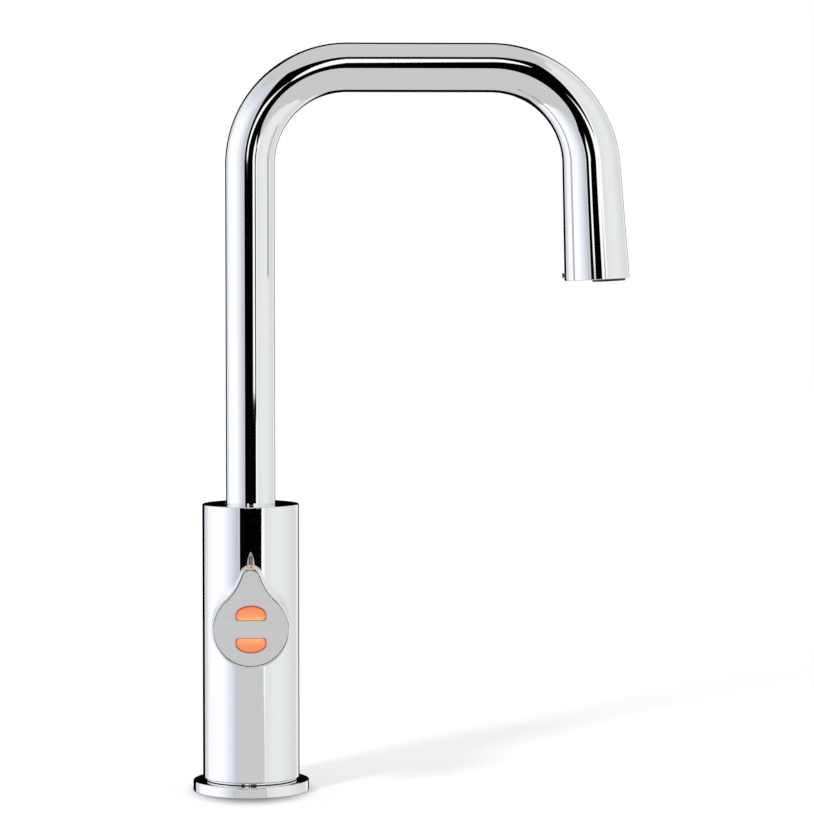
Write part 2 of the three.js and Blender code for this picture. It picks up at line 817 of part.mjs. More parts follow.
function outletScrew() {
	const wall = -dropWidthAtEnd / 2 + flankAt(outletScrewHeight);
	const headBack = wall - fitGap;
	const head = crossRod(
		outletScrewHeadRadius,
		[headBack - outletScrewHeadProud, 0, outletScrewHeight],
		[headBack, 0, outletScrewHeight],
		smallFacets,
	);
	const shank = crossRod(
		outletScrewRadius,
		[headBack - overlap, 0, outletScrewHeight],
		[-dropWidthAtEnd / 2 + outletScrewLength, 0, outletScrewHeight],
	);
	return join([head, shank]);
}

// How far the leg's surface has drawn in at a height above its end.
function flankAt(level) {
	return level * Math.tan(dropTaper);
}

function flowStraightener() {
	const [bottom, top] = [outletRecess, outletRecess + straightenerHeight];
	const disc = rod(nozzleBoreRadius - fitGap, bottom, top);
	const hole = rod(straightenerHoleRadius, bottom - over, top + over, drillFacets);
	const holes = [hole];
	for (let i = 0; i < straightenerHoles; i += 1) {
		const turn = (i / straightenerHoles) * 360;
		holes.push(hole.translate(nozzleBoreRadius / 2, 0, 0).rotate([0, 0, turn]));
	}
	return cut(disc, holes).translate(nozzleOffset, 0, 0);
}

// ---- what the lever turns in: drawn with z out of the body along the lever's axis -----------

// The chromed sleeve that stands out of the body, with the snap ring's groove in its bore.
function controlBoss() {
	const grooveFront = carrierFront + fitGap * 2 + snapRingThickness + fitGap;
	const grooveRadius = bossBoreRadius + snapRingDepth;
	return turned([
		[bossBoreRadius, bossBack],
		[bossRadius, bossBack],
		[bossRadius, bossFront - bossChamfer],
		[bossRadius - bossChamfer, bossFront],
		[bossBoreRadius, bossFront],
		[bossBoreRadius, grooveFront],
		[grooveRadius, grooveFront],
		[grooveRadius, carrierFront],
		[bossBoreRadius, carrierFront],
	], fineFacets);
}

function controlCarrier() {
	const plateBack = carrierFront - carrierFrontPlate;
	const wallInner = carrierRadius - carrierWall;
	const casting = turned([
		[bushRadius + fitGap, hubBack],
		[hubRadius, hubBack],
		[hubRadius, plateBack],
		[wallInner, plateBack],
		[wallInner, carrierBack],
		[carrierRadius, carrierBack],
		[carrierRadius, carrierFront],
		[bushRadius + fitGap, carrierFront],
	]);
	const halfSlot = stopPinRadius + fitGap;
	const swing = THREE.MathUtils.degToRad(leverSwing) + Math.asin(halfSlot / stopPinCircle);
	const slot = ringSector(
		stopPinCircle - halfSlot,
		stopPinCircle + halfSlot,
		plateBack - over,
		carrierFront + over,
		-Math.PI / 2,
		swing,
	);
	return cut(casting, [slot]);
}

function carrierSnapRing() {
	const outer = bossBoreRadius + snapRingDepth - fitGap;
	const back = carrierFront + fitGap;
	const front = back + snapRingThickness;
	const mouth = block(snapRingMouth, outer, back - over, front + over, 0, outer);
	return cut(pipe(outer - snapRingWidth, outer, back, front), [mouth]);
}

function spindleBush() {
	return pipe(spindleBoreRadius, bushRadius, bushBack, carrierFront);
}

function sensorBoard() {
	return pipe(
		circlipRadius + 1,
		carrierRadius - carrierWall - fitGap,
		carrierBack + fitGap,
		boardFront,
	);
}

// The torsion spring round the carrier's hub, as one unbroken wire.
function returnSpring() {
	const springRadius = hubRadius + springClearance + springWireRadius;
	const start = boardFront + springWireRadius + fitGap;
	const end = carrierFront - carrierFrontPlate - springWireRadius - fitGap;
	const rings = [];
	for (let i = 0; i <= springTurns * wireSteps; i += 1) {
		const angle = (i / wireSteps) * 2 * Math.PI;
		const level = start + ((end - start) * i) / (springTurns * wireSteps);
		const ring = [];
		for (let j = 0; j < wireSides; j += 1) {
			const round = (j / wireSides) * 2 * Math.PI;
			const radius = springRadius + springWireRadius * Math.cos(round);
			ring.push([
				radius * Math.cos(angle),
				radius * Math.sin(angle),
				level + springWireRadius * Math.sin(round),
			]);
		}
		rings.push(ring);
	}
	return solid(capped(rings));
}

// A skin of rings closed by a flat fan at each end.
function capped(rings) {
	const around = rings[0].length;
	const index = [];
	for (let i = 0; i + 1 < rings.length; i += 1) {
		for (let j = 0; j < around; j += 1) {
			const beside = (j + 1) % around;
			const [a, b] = [i * around + j, i * around + beside];
			const [c, d] = [a + around, b + around];
			index.push(a, c, b, b, c, d);
		}
	}
	const last = (rings.length - 1) * around;
	for (let j = 1; j + 1 < around; j += 1) {
		index.push(0, j, j + 1, last, last + j + 1, last + j);
	}
	const geometry = new THREE.BufferGeometry();
	geometry.setAttribute('position', new THREE.Float32BufferAttribute(rings.flat(2), 3));
	geometry.setIndex(index);
	return geometry;
}

function leverSpindle() {
	const shoulderBack = carrierFront + fitGap;
	const shoulderFront = leverBack - fitGap;
	const clipBack = bushBack - fitGap - circlipThickness;
	const clipFloor = spindleRadius - circlipGrooveDepth;
	const shaft = turned([
		[0, spindleBack],
		[spindleRadius, spindleBack],
		[spindleRadius, clipBack - fitGap],
		[clipFloor, clipBack - fitGap],
		[clipFloor, bushBack],
		[spindleRadius, bushBack],
		[spindleRadius, shoulderBack],
		[spindleShoulderRadius, shoulderBack],
		[spindleShoulderRadius, shoulderFront],
		[0, shoulderFront],
	]);
	const square = block(spindleSquare, spindleSquare, shoulderFront - overlap, spindleEnd);
	const threadEnd = cavityFloor + fitGap - leverScrewLength - over;
	const thread = rod(leverScrewRadius + fitGap, threadEnd, spindleEnd + over, drillFacets);
	return cut(join([shaft, square]), [thread]);
}

function spindleCirclip() {
	const front = bushBack - fitGap;
	const back = front - circlipThickness;
	const ring = pipe(spindleRadius - circlipGrooveDepth + fitGap, circlipRadius, back, front);
	const mouth = block(circlipMouth, circlipRadius, back - over, front + over, 0, circlipRadius);
	return cut(ring, [mouth]);
}

function spindleMagnet() {
	const front = spindleBack - fitGap;
	return rod(magnetRadius, front - magnetThickness, front, smallFacets);
}

function stopPin() {
	const back = carrierFront - carrierFrontPlate;
	const pin = rod(stopPinRadius, back, leverBack + stopPinInLever, drillFacets);
	return pin.translate(0, -stopPinCircle, 0);
}

// ---- lever ----------------------------------------------------------------------------------

// The drop-shaped outline of the lever, moved outwards by an offset: a big arc, a hollow flank,
// the tip arc and the other flank, each running smoothly into the next.
function leverOutline(offset, perTurn = fineFacets) {
	const big = faceRadius + faceFlankRadius;
	const small = faceTipRadius + faceFlankRadius;
	const flankY = (faceTipCentre ** 2 + big ** 2 - small ** 2) / (2 * faceTipCentre);
	const flankX = Math.sqrt(big ** 2 - flankY ** 2);
	const toFlank = Math.atan2(flankY, flankX);
	const tipToFlank = Math.atan2(flankY - faceTipCentre, flankX);
	const hollow = faceFlankRadius - offset;
	const main = faceRadius + offset;
	const tip = faceTipRadius + offset;
	return outlineOf([
		arc(0, 0, main, main, -Math.PI - toFlank, toFlank, perTurn),
		arc(flankX, flankY, hollow, hollow, Math.PI + toFlank, Math.PI + tipToFlank, perTurn),
		arc(0, faceTipCentre, tip, tip, tipToFlank, Math.PI - tipToFlank, facets),
		arc(-flankX, flankY, hollow, hollow, -tipToFlank, -toFlank, perTurn),
	]);
}

// A region round the tip's edge, cut down to the lens's width.
function tipStrip(innerOffset, outerOffset, halfWidth, bottom, top) {
	const window = block(2 * halfWidth, 2 * faceTipRadius, bottom, top, 0, faceTipCentre + faceTipRadius);
	const outside = plate(leverOutline(outerOffset), bottom - over, top + over);
	const inside = plate(leverOutline(innerOffset), bottom - over, top + over);
	return window.intersect(outside).subtract(inside);
}

const tipTop = faceTipCentre + faceTipRadius;
const lensFront = leverFront - lensSetback;
const lensBack = lensFront - lensDepth;
const lensPegLevel = lensFront - lensPegRadius - fitGap;
const lensInnerOffset = rimWidth - lensThickness;

// The lit strip lies in the tip's outer wall, and its peg takes the light in from the LED.
function pointerLens() {
	const strip = tipStrip(lensInnerOffset, rimWidth, lensHalfWidth, lensBack, lensFront);
	const pegEnd = tipTop + rimWidth - lensPegSink;
	const peg = crossRod(lensPegRadius, [0, tipTop - cavityInset, lensPegLevel], [0, pegEnd, lensPegLevel]);
	return join([strip, peg]);
}

function leverBody() {
	const blank = plate(leverOutline(rimWidth), leverBack, leverFront);
	const faceSeat = plate(leverOutline(fitGap / 2), faceBack - fitGap, leverFront + over);
	const cavity = plate(leverOutline(-cavityInset, facets), cavityFloor + boardLedge, faceBack);
	const well = plate(leverOutline(-boardInset, facets), cavityFloor, faceBack);
	const squareSide = spindleSquare + 2 * fitGap;
	const socket = block(squareSide, squareSide, leverBack - over, socketEnd);
	const screwHole = rod(leverScrewRadius + fitGap, leverBack, cavityFloor + over, drillFacets);
	const pinHoleEnd = leverBack + stopPinInLever + fitGap;
	const pinHole = rod(stopPinRadius + fitGap, leverBack - over, pinHoleEnd, drillFacets);
	const lensSeat = tipStrip(
		lensInnerOffset - fitGap,
		rimWidth + over,
		lensHalfWidth + fitGap,
		lensBack - fitGap,
		lensFront + fitGap,
	);
	const pegHole = crossRod(
		lensPegRadius + fitGap,
		[0, tipTop - cavityInset - over, lensPegLevel],
		[0, tipTop + over, lensPegLevel],
	);
	return cut(blank, [
		faceSeat,
		cavity,
		well,
		socket,
		screwHole,
		pinHole.translate(0, -stopPinCircle, 0),
		lensSeat,
		pegHole,
	]);
}

// A half-oval, its straight edge towards the lever's axis; side is +1 above and -1 below.
function buttonOutline(side, offset) {
	const middle = side * (buttonEdgeOffset + buttonFoot);
	const wide = buttonHalfWidth + offset;
	const flat = buttonHalfWidth - buttonCornerWidth;
	const corner = buttonCornerWidth + offset;
	const foot = side * (buttonFoot + offset);
	const dome = side * (buttonDome + offset);
	const points = outlineOf([
		arc(0, middle, wide, dome, 0, Math.PI, facets),
		arc(-flat, middle, corner, foot, Math.PI, 1.5 * Math.PI, facets),
		arc(flat, middle, corner, foot, 1.5 * Math.PI, 2 * Math.PI, facets),
	]).getPoints();
	return new THREE.Shape(side > 0 ? points : points.reverse());
}

function leverFace() {
	const sheet = plate(leverOutline(-fitGap / 2), faceBack, faceFront);
	const openings = [1, -1].map((side) => {
		return plate(buttonOutline(side, fitGap), faceBack - over, faceFront + over);
	});
	return cut(sheet, openings);
}

function pushButton(side) {
	const cap = plate(buttonOutline(side, 0), buttonFlangeFront - overlap, buttonFront);
	const flangeBack = buttonFlangeFront - buttonFlangeThickness;
	const flange = plate(buttonOutline(side, buttonFlange), flangeBack, buttonFlangeFront);
	const middle = side * (buttonEdgeOffset + buttonFoot);
	const post = block(switchWidth, switchHeight, buttonBack, flangeBack + overlap, 0, middle);
	return join([cap, flange, post]);
}

function switchBlock(side) {
	const middle = side * (buttonEdgeOffset + buttonFoot);
	return block(switchWidth, switchHeight, switchBack, switchFront, 0, middle);
}

function pointerLed() {
	const middle = tipTop - cavityInset - 2 * fitGap - ledHeight / 2;
	return block(ledWidth, ledHeight, switchBack, switchBack + ledThickness, 0, middle);
}

function lightBoard() {
	const sheet = plate(leverOutline(-cavityInset - fitGap, facets), boardBack, boardTopFace);
	const accessRadius = leverScrewHeadRadius + 2 * fitGap;
	const screwAccess = rod(accessRadius, boardBack - over, boardTopFace + over, smallFacets);
	return cut(sheet, [screwAccess]);
}

function leverScrew() {
	const headBack = cavityFloor + fitGap;
	const headFront = headBack + leverScrewHeadHeight;
	const head = rod(leverScrewHeadRadius, headBack, headFront, smallFacets);
	const shank = rod(leverScrewRadius, headBack - leverScrewLength, headBack + overlap, drillFacets);
	const key = rod(leverKeyRadius, headFront - leverKeyDepth, headFront + over, keyFacets);
	return cut(join([head, shank]), [key]);
}

// ---- finishes -------------------------------------------------------------------------------

function finish(colour, roughness, metalness) {
	return new THREE.MeshStandardMaterial({ color: colour, roughness, metalness });
}

const chrome = finish(0xd6dadd, 0.08, 1);
const satinChrome = finish(0xc4c6c8, 0.3, 1);
const brass = finish(0xc9a75a, 0.35, 1);
const steel = finish(0xa8abae, 0.4, 1);
const blackPlastic = finish(0x141414, 0.45, 0);
const rubber = finish(0x1c1c1c, 0.8, 0);
const whitePlastic = finish(0xe8e6df, 0.5, 0);
const tubePlastic = finish(0xdfe3e6, 0.4, 0);
const orangeLens = finish(0xffa060, 0.3, 0);
const board = finish(0x1f5c3a, 0.6, 0);

// ---- assembly -------------------------------------------------------------------------------

function piece(name, body, material) {
	const mesh = new THREE.Mesh(surface(body), material);
	mesh.name = name;
	return mesh;
}

const tap = new THREE.Group();

const clampFace = -worktopThickness;
const plateTop = clampFace - clampGasketThickness - fitGap;
const nutTop = plateTop - clampPlateThickness - fitGap;

tap.add(
	piece('base_flange', baseFlange(), chrome),
	piece('base_gasket', baseGasket(), rubber),
	piece('carrier_ring', carrierRing(), chrome),
	piece('threaded_shank', threadedShank(), brass),
	piece('clamp_gasket', horseshoe(clampFace - clampGasketThickness, clampFace), rubber),
	piece('clamp_plate', horseshoe(plateTop - clampPlateThickness, plateTop), steel),
	piece('lock_nut', lockNut(nutTop), brass),
	piece('body_shell', bodyShell(), chrome),
	piece('inlet_manifold', inletManifold(), brass),
	piece('boiling_inlet', inletStub(-waterwayX), brass),
	piece('chilled_inlet', inletStub(waterwayX), brass),
	piece('cable_gland', cableGland(), rubber),
	piece('boiling_pipe', waterPipe(-waterwayX), steel),
	piece('chilled_pipe', waterPipe(waterwayX), steel),
	piece('head_block', headBlock(), brass),
	piece('swivel_post', swivelPost(), brass),
	piece('lower_o_ring', sealingRing(ringLevels[0]), rubber),
	piece('upper_o_ring', sealingRing(ringLevels[1]), rubber),
	piece('thrust_washer', thrustWasher(), whitePlastic),
	piece('spout_bush', spoutBush(), whitePlastic),
	piece('retaining_screw', retainingScrew(), steel),
	piece('spout_tube', spoutTube(), chrome),
	piece('spout_foot', spoutFoot(), brass),
	piece('boiling_tube', waterTube(-1), tubePlastic),
	piece('chilled_tube', waterTube(1), tubePlastic),
	piece('outlet_insert', tipPlaced(outletInsert()), blackPlastic),
	piece('flow_straightener', tipPlaced(flowStraightener()), whitePlastic),
	piece('outlet_screw', tipPlaced(outletScrew()), steel),
);

// The lever's group lies on its side: its z is out of the body, its y is up.
const control = new THREE.Group();
control.position.set(0, 0, knobHeight);
control.rotation.x = Math.PI / 2;
control.add(
	piece('control_boss', controlBoss(), chrome),
	piece('control_carrier', controlCarrier(), whitePlastic),
	piece('carrier_snap_ring', carrierSnapRing(), steel),
	piece('spindle_bush', spindleBush(), brass),
	piece('return_spring', returnSpring(), steel),
	piece('sensor_board', sensorBoard(), board),
	piece('lever_spindle', leverSpindle(), steel),
	piece('spindle_circlip', spindleCirclip(), steel),
	piece('spindle_magnet', spindleMagnet(), steel),
	piece('stop_pin', stopPin(), steel),
	piece('lever_body', leverBody(), chrome),
	piece('lever_face', leverFace(), satinChrome),
	piece('pointer_lens', pointerLens(), orangeLens),
	piece('pointer_led', pointerLed(), whitePlastic),
	piece('light_board', lightBoard(), board),
	piece('select_switch', switchBlock(1), blackPlastic),
	piece('safety_switch', switchBlock(-1), blackPlastic),
	piece('lever_screw', leverScrew(), steel),
	piece('select_button', pushButton(1), orangeLens),
	piece('safety_button', pushButton(-1), orangeLens),
);
tap.add(control);

export default tap;
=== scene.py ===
"""A chromed boiling water tap with a swivel spout, a drop-shaped lever and two lit buttons."""
import json
import math

import bmesh
import bpy
from mathutils import Matrix, Vector


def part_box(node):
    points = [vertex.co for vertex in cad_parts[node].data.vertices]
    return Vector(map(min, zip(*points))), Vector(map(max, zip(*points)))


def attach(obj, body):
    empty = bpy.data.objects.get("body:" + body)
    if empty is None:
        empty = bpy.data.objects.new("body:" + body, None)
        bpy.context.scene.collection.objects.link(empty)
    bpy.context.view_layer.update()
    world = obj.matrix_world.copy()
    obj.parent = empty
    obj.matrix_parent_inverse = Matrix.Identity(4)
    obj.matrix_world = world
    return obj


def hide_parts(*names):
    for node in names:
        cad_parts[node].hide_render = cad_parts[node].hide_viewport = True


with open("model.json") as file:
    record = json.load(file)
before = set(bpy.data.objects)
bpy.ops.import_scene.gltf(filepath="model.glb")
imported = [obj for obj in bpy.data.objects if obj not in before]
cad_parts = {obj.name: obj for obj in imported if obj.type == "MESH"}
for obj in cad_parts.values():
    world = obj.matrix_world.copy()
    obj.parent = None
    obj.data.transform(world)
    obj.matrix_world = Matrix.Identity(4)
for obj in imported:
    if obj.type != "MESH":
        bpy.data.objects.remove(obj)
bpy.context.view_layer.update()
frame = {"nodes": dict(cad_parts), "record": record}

MM = 0.001


def span(node):
    """The lowest and highest corner of a frame node, in millimetres."""
    low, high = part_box(node)
    return low / MM, high / MM


# ---- sizes, in millimetres: the frame's own where it has them ----

flange_low, flange_high = span("base_flange")
neck_low, neck_high = span("carrier_ring")
body_low, body_high = span("body_shell")
boss_low, boss_high = span("control_boss")
tube_low, tube_high = span("spout_tube")
lever_low, lever_high = span("lever_body")
face_low, face_high = span("lever_face")
lens_low, lens_high = span("pointer_lens")
spindle_low, spindle_high = span("lever_spindle")
shank_low, shank_high = span("threaded_shank")
screw_low, screw_high = span("retaining_screw")
nut_low, nut_high = span("lock_nut")

ROUND = 192  # steps round a large turned piece
FIT_GAP = 0.3
OVER = 1.0  # how far a cutter goes past what it cuts
FLANGE_RADIUS = flange_high.x
BODY_RADIUS = body_high.x
BODY_WALL = 2.0
BODY_TOP_PLATE = 3.3
SHANK_RADIUS = shank_high.x
SHANK_BORE = 12.5
NECK_RADIUS = 23.8
NECK_HEIGHT = 0.9

KNOB_LEVEL = (spindle_low.z + spindle_high.z) / 2
BOSS_RADIUS = boss_high.x
BOSS_BORE = BOSS_RADIUS - 2.75
SCREW_LEVEL = (screw_low.z + screw_high.z) / 2
SCREW_RADIUS = screw_high.x
SCREW_KEY_RADIUS = 1.3
SCREW_KEY_DEPTH = 2.0
SCREW_TIP_RADIUS = SCREW_RADIUS - 1.0
SCREW_TIP_LENGTH = 2.0
SCREW_TIP_ROOT = 0.5  # how far the tip goes into the screw

THREAD_PITCH = 2.0
THREAD_DEPTH = 0.8
THREAD_CREST = 0.2  # half a tooth's width at its top
THREAD_FOOT = 0.95  # and at its foot
THREAD_SINK = 0.2  # how far its foot goes into the shank
THREAD_RUN_IN = 1.6  # from the shank's lower end to the first tooth
THREAD_TOP = -2.0
THREAD_STEPS = 64  # round one turn
CLAMP_RADIUS = 27.0
NUT_FLAT = 20.5  # from the nut's middle to each of its flats
NUT_CHAMFER = 0.3
NUT_CHAMFER_SLOPE = math.tan(math.pi / 6)
GASKET_INNER_RADIUS = 18.5
GASKET_OUTER_RADIUS = 27.5

TUBE_RADIUS = 12.7
TUBE_WALL = 1.2
BEND_RADIUS = 50.0
BEND_LEVEL = tube_high.z - TUBE_RADIUS - BEND_RADIUS
BEND_INSIDE = BEND_RADIUS - TUBE_RADIUS
SPOUT_RUN = 73.95
DROP_TILT = math.radians(1.2)  # how far the leg's inner side leans outwards
DROP_LENGTH = 60.6  # along that side
DROP_WIDTH_AT_BEND = 29.9
DROP_WIDTH_AT_END = 33.7
FLARE_POWER = 1.9  # how late in its bend the leg grows
DROP_BEND_X = BEND_RADIUS + SPOUT_RUN
DROP_TURN = math.pi / 2 - DROP_TILT
DROP_TAPER = math.atan((DROP_WIDTH_AT_END - DROP_WIDTH_AT_BEND) / 2 / DROP_LENGTH)
DROP_LEAN = DROP_TILT + DROP_TAPER
DROP_WAY = Vector((math.sin(DROP_TILT), 0, -math.cos(DROP_TILT))) * DROP_LENGTH
DROP_BEND = Vector((DROP_BEND_X, 0, BEND_LEVEL))
DROP_INSIDE = DROP_BEND + Vector((math.cos(DROP_TILT), 0, math.sin(DROP_TILT))) * BEND_INSIDE + DROP_WAY
DROP_END = DROP_INSIDE + Vector((math.cos(DROP_LEAN), 0, math.sin(DROP_LEAN))) * (DROP_WIDTH_AT_END / 2)
BEND_STEPS = 56
TUBE_STEPS = 144
TUBE_END_ROUNDING = 0.3

OUTLET_DEPTH = 16.0
OUTLET_RECESS = 0.8
NOZZLE_RADIUS = 8.6
NOZZLE_BORE = 6.2
NOZZLE_OFFSET = 6.2
NOZZLE_PROUD = 1.3
NOZZLE_ROOT = 2.0  # how far it goes into the plug
BORE_START = -5.0  # where the cutter of the plug's bore begins, below the nozzle
STRAIGHTENER_DEPTH = 5.0
STREAM_HOLES = 6  # round the one in the middle
STREAM_HOLE_RADIUS = 0.8
OUTLET_SCREW_LEVEL = 2.8
OUTLET_SCREW_LENGTH = 4.5
OUTLET_SCREW_RADIUS = 0.8
OUTLET_SCREW_HEAD = 1.3
OUTLET_SCREW_HEAD_HEIGHT = 0.9
OUTLET_SCREW_ROOT = 0.2  # how far its shank goes into the head
OUTLET_KEY_RADIUS = 0.6
OUTLET_KEY_DEPTH = 0.5

# the lever, in its own frame: z is out of the body and y is up
LEVER_BACK = -lever_high.y
LEVER_FRONT = -lever_low.y
FACE_BACK = -face_high.y
FACE_FRONT = -face_low.y
FACE_RADIUS = 18.5
TIP_RADIUS = 4.5
TIP_CENTRE = 25.05
FLANK_RADIUS = 31.6
RIM_WIDTH = 1.2
RIM_ROUNDING = 0.9
RIM_INNER_ROUNDING = 0.06
LEVER_BACK_ROUNDING = 0.4
FACE_RECESS_DEPTH = LEVER_FRONT - FACE_BACK + FIT_GAP
LENS_HALF_WIDTH = (lens_high.x - lens_low.x) / 2
LENS_BACK = -lens_high.y
LENS_FRONT = -lens_low.y
LENS_THICKNESS = 1.5
BUTTON_HALF_WIDTH = 7.75
BUTTON_DOME = 4.8
BUTTON_FOOT = 2.24
BUTTON_EDGE = 4.6  # from the lever's axis to a button's straight edge
BUTTON_CORNER = 1.5
BUTTON_ROUNDING = 0.45
BUTTON_FRONT = -span("select_button")[0].y

LEVER_PLACE = Matrix.Translation((0, 0, KNOB_LEVEL)) @ Matrix.Rotation(math.pi / 2, 4, "X")
TIP_PLACE = Matrix.Translation(DROP_END) @ Matrix.Rotation(-DROP_LEAN, 4, "Y")


# ---- camera, in metres ----

CAMERA_PLACE = Vector((0.0, -1.75, 0.29205))
CAMERA_AIM = Vector((0.0809, 0.0, 0.19875))
CAMERA_LENS = 150


def set_camera():
    camera = bpy.data.objects.new("camera", bpy.data.cameras.new("camera"))
    bpy.context.scene.collection.objects.link(camera)
    camera.location = CAMERA_PLACE
    camera.rotation_euler = (CAMERA_AIM - CAMERA_PLACE).to_track_quat("-Z", "Y").to_euler()
    camera.data.lens = CAMERA_LENS
    camera.data.sensor_width = 36
    camera.data.clip_start = 0.05
    camera.data.clip_end = 100
    bpy.context.scene.camera = camera


# ---- shader helpers ----

def linear(value):
    """A display value from 0 to 255 as the light it stands for."""
    part = value / 255
    return part / 12.92 if part <= 0.04045 else ((part + 0.055) / 1.055) ** 2.4


def colour(red, green=None, blue=None):
    green = red if green is None else green
    blue = red if blue is None else blue
    return (linear(red), linear(green), linear(blue), 1.0)


def add_node(tree, kind, inputs=(), **settings):
    node = tree.nodes.new(kind)
    for name, value in settings.items():
        setattr(node, name, value)
    for key, value in dict(inputs).items():
        if isinstance(value, bpy.types.NodeSocket):
            tree.links.new(value, node.inputs[key])
        else:
            node.inputs[key].default_value = value
    return node


def calc(tree, operation, *values):
    return add_node(tree, "ShaderNodeMath", enumerate(values), operation=operation).outputs[0]


def distance(tree, across, along):
    """How far a point is from the middle, by its two distances."""
    squares = calc(tree, "ADD", calc(tree, "POWER", across, 2.0), calc(tree, "POWER", along, 2.0))
    return calc(tree, "SQRT", squares)


def step_up(tree, value, edge, softness):
    """0 below the edge and 1 above it."""
    low = calc(tree, "SUBTRACT", value, edge)
    node = add_node(tree, "ShaderNodeMapRange", {
        "Value": low, "From Min": -softness / 2, "From Max": softness / 2,
    }, interpolation_type="SMOOTHSTEP")
    return node.outputs["Result"]


def inside(tree, value, low, high, softness):
    """1 between two values and 0 past them."""
    above = step_up(tree, value, low, softness)
    below = step_up(tree, value, high, softness)
    return calc(tree, "SUBTRACT", above, below)


def both(tree, *masks):
    """1 where every mask is 1."""
    result = masks[0]
    for mask in masks[1:]:
        result = calc(tree, "MULTIPLY", result, mask)
    return result


def blend_colours(tree, mask, under, over):
    """The second colour laid over the first by a mask."""
    node = add_node(tree, "ShaderNodeMix", data_type="RGBA")
    for key, value in ((0, mask), (6, under), (7, over)):
        if isinstance(value, bpy.types.NodeSocket):
            tree.links.new(value, node.inputs[key])
        else:
            node.inputs[key].default_value = value
    return node.outputs[2]


def ramp(tree, value, stops, low=0.0, high=1.0):
    """A colour ramp over value, its stops given as (value, colour)."""
    share = add_node(tree, "ShaderNodeMapRange", {"Value": value, "From Min": low, "From Max": high})
    node = add_node(tree, "ShaderNodeValToRGB", {"Fac": share.outputs["Result"]})
    elements = node.color_ramp.elements
    elements.remove(elements[1])
    for i, (at, tint) in enumerate(stops):
        element = elements[0] if i == 0 else elements.new((at - low) / (high - low))
        element.position = (at - low) / (high - low)
        element.color = tint
    return node.outputs["Color"]


def curve(tree, value, points):
    """A smooth line through (value, result) points, held level past its ends."""
    lows, highs = min(p[0] for p in points), max(p[0] for p in points)
    least, most = min(p[1] for p in points), max(p[1] for p in points)
    share = add_node(tree, "ShaderNodeMapRange", {"Value": value, "From Min": lows, "From Max": highs})
    node = add_node(tree, "ShaderNodeFloatCurve", {"Value": share.outputs["Result"]})
    line = node.mapping.curves[0]
    places = [((x - lows) / (highs - lows), (y - least) / (most - least)) for x, y in points]
    line.points[0].location = places[0]
    line.points[-1].location = places[-1]
    for place in places[1:-1]:
        line.points.new(*place)
    for point in line.points:
        point.handle_type = "VECTOR"
    node.mapping.update()
    scaled = calc(tree, "MULTIPLY", node.outputs["Value"], most - least)
    return calc(tree, "ADD", scaled, least)


# ---- the studio ----

# Directions are in degrees: azimuth from the camera's side, positive to the right, and elevation.
# An edge is a list of points, (azimuth, elevation) or (elevation, azimuth) as its comment says.

WALLS = [  # azimuth and the wall's colour
    (-180, colour(0)),
    (-145, colour(0)),
    (-143.5, colour(206, 207, 211)),
    (-127, colour(215, 220, 226)),
    (-121, colour(243, 246, 251)),
    (-101, colour(254)),
    (-70, colour(254)),
    (-57, colour(236, 239, 248)),
    (-46, colour(219, 222, 229)),
    (-40, colour(207, 210, 217)),
    (-32, colour(190, 193, 200)),
    (-27, colour(206, 209, 214)),
    (26, colour(254)),
    (31, colour(254)),
    (35, colour(222, 224, 223)),
    (49, colour(229, 231, 230)),
    (78, colour(232, 234, 233)),
    (100, colour(223, 225, 224)),
    (121, colour(214, 215, 217)),
    (140, colour(216, 217, 219)),
    (143, colour(248)),
    (147, colour(244)),
    (150, colour(190)),
    (158, colour(182)),
    (160, colour(0)),
    (180, colour(0)),
]
ALL_ROUND = 180.0
PLAIN_GREY = colour(199, 200, 199)  # the floor and the ceiling
HAZE = colour(208, 211, 222)  # on the left wall, towards the ceiling
CARD_BLACK = colour(1)
CARD_WHITE = colour(254)
GAP_WHITE = colour(252)

FLOOR_EDGE = [  # azimuth to either side, elevation
    (27, -6.3), (32.5, -9), (34, -13), (35.5, -18), (51, -35), (77, -51), (136, -50), (180, -49.5),
]
CEILING_EDGE = [  # azimuth, elevation
    (-180, 43), (-34, 43.5), (0, 46.5), (50, 49.5), (67, 58), (85, 62), (110, 60),
    (140, 56), (160, 45), (180, 43),
]
CARD_LEFT = [  # elevation, azimuth
    (0, -26), (6, -25.2), (11, -25), (17.4, -26.7), (22.3, -28.8), (28.2, -30.7),
    (36.9, -34.2), (43.6, -34.5),
]
CARD_RIGHT = [  # elevation, azimuth
    (-6, 25.7), (19, 27.3), (25, 28.6), (30, 30.2), (36, 32.2), (45, 35),
]
CARD_TOP = [  # azimuth, elevation
    (-34.5, 43.6), (-27, 42.5), (-13.4, 42.4), (-6, 44.3), (1.6, 47), (4.1, 48),
    (11.4, 47.5), (19.6, 48.2), (29, 51),
]
CARD_BOTTOM = -6.3
SAIL_SPAN = (-7.5, 17.0)
SAIL_LOW = [  # azimuth, elevation
    (-7.5, 17), (-6.5, 13), (-4.5, 10), (-2.5, 8.5), (-1.4, 10), (-0.3, 12.5), (1.6, 18),
    (4.1, 23), (7.3, 24.5), (12.6, 29), (17, 32),
]
SAIL_HIGH = [  # azimuth, elevation
    (-7.5, 17), (-6.8, 24), (-3.7, 31), (1.6, 36.2), (4.1, 37), (9.4, 36), (14.9, 34.5), (17, 32),
]
STRIP_LEFT = -15.5
STRIP_RIGHT = [(1, -9.5), (3, -9.5), (7, -6.5), (12.5, -6.5)]  # elevation, azimuth
STRIP_LEVELS = (1.6, 12.5)
GAP_SPAN = (13.2, 28.0)
GAP_BOTTOM = -2.9
GAP_TOP = [(12.5, 14.5), (18, 15), (24, 13), (28, 12)]  # azimuth, elevation
WEDGE_SPAN = (22.5, 28.0)
WEDGE_BOTTOM = -3.3
WEDGE_DEPTH = [(-3.3, 1), (-1.2, 0.98), (0.5, 0.94), (3.6, 0.54), (5, 0)]  # elevation, how black

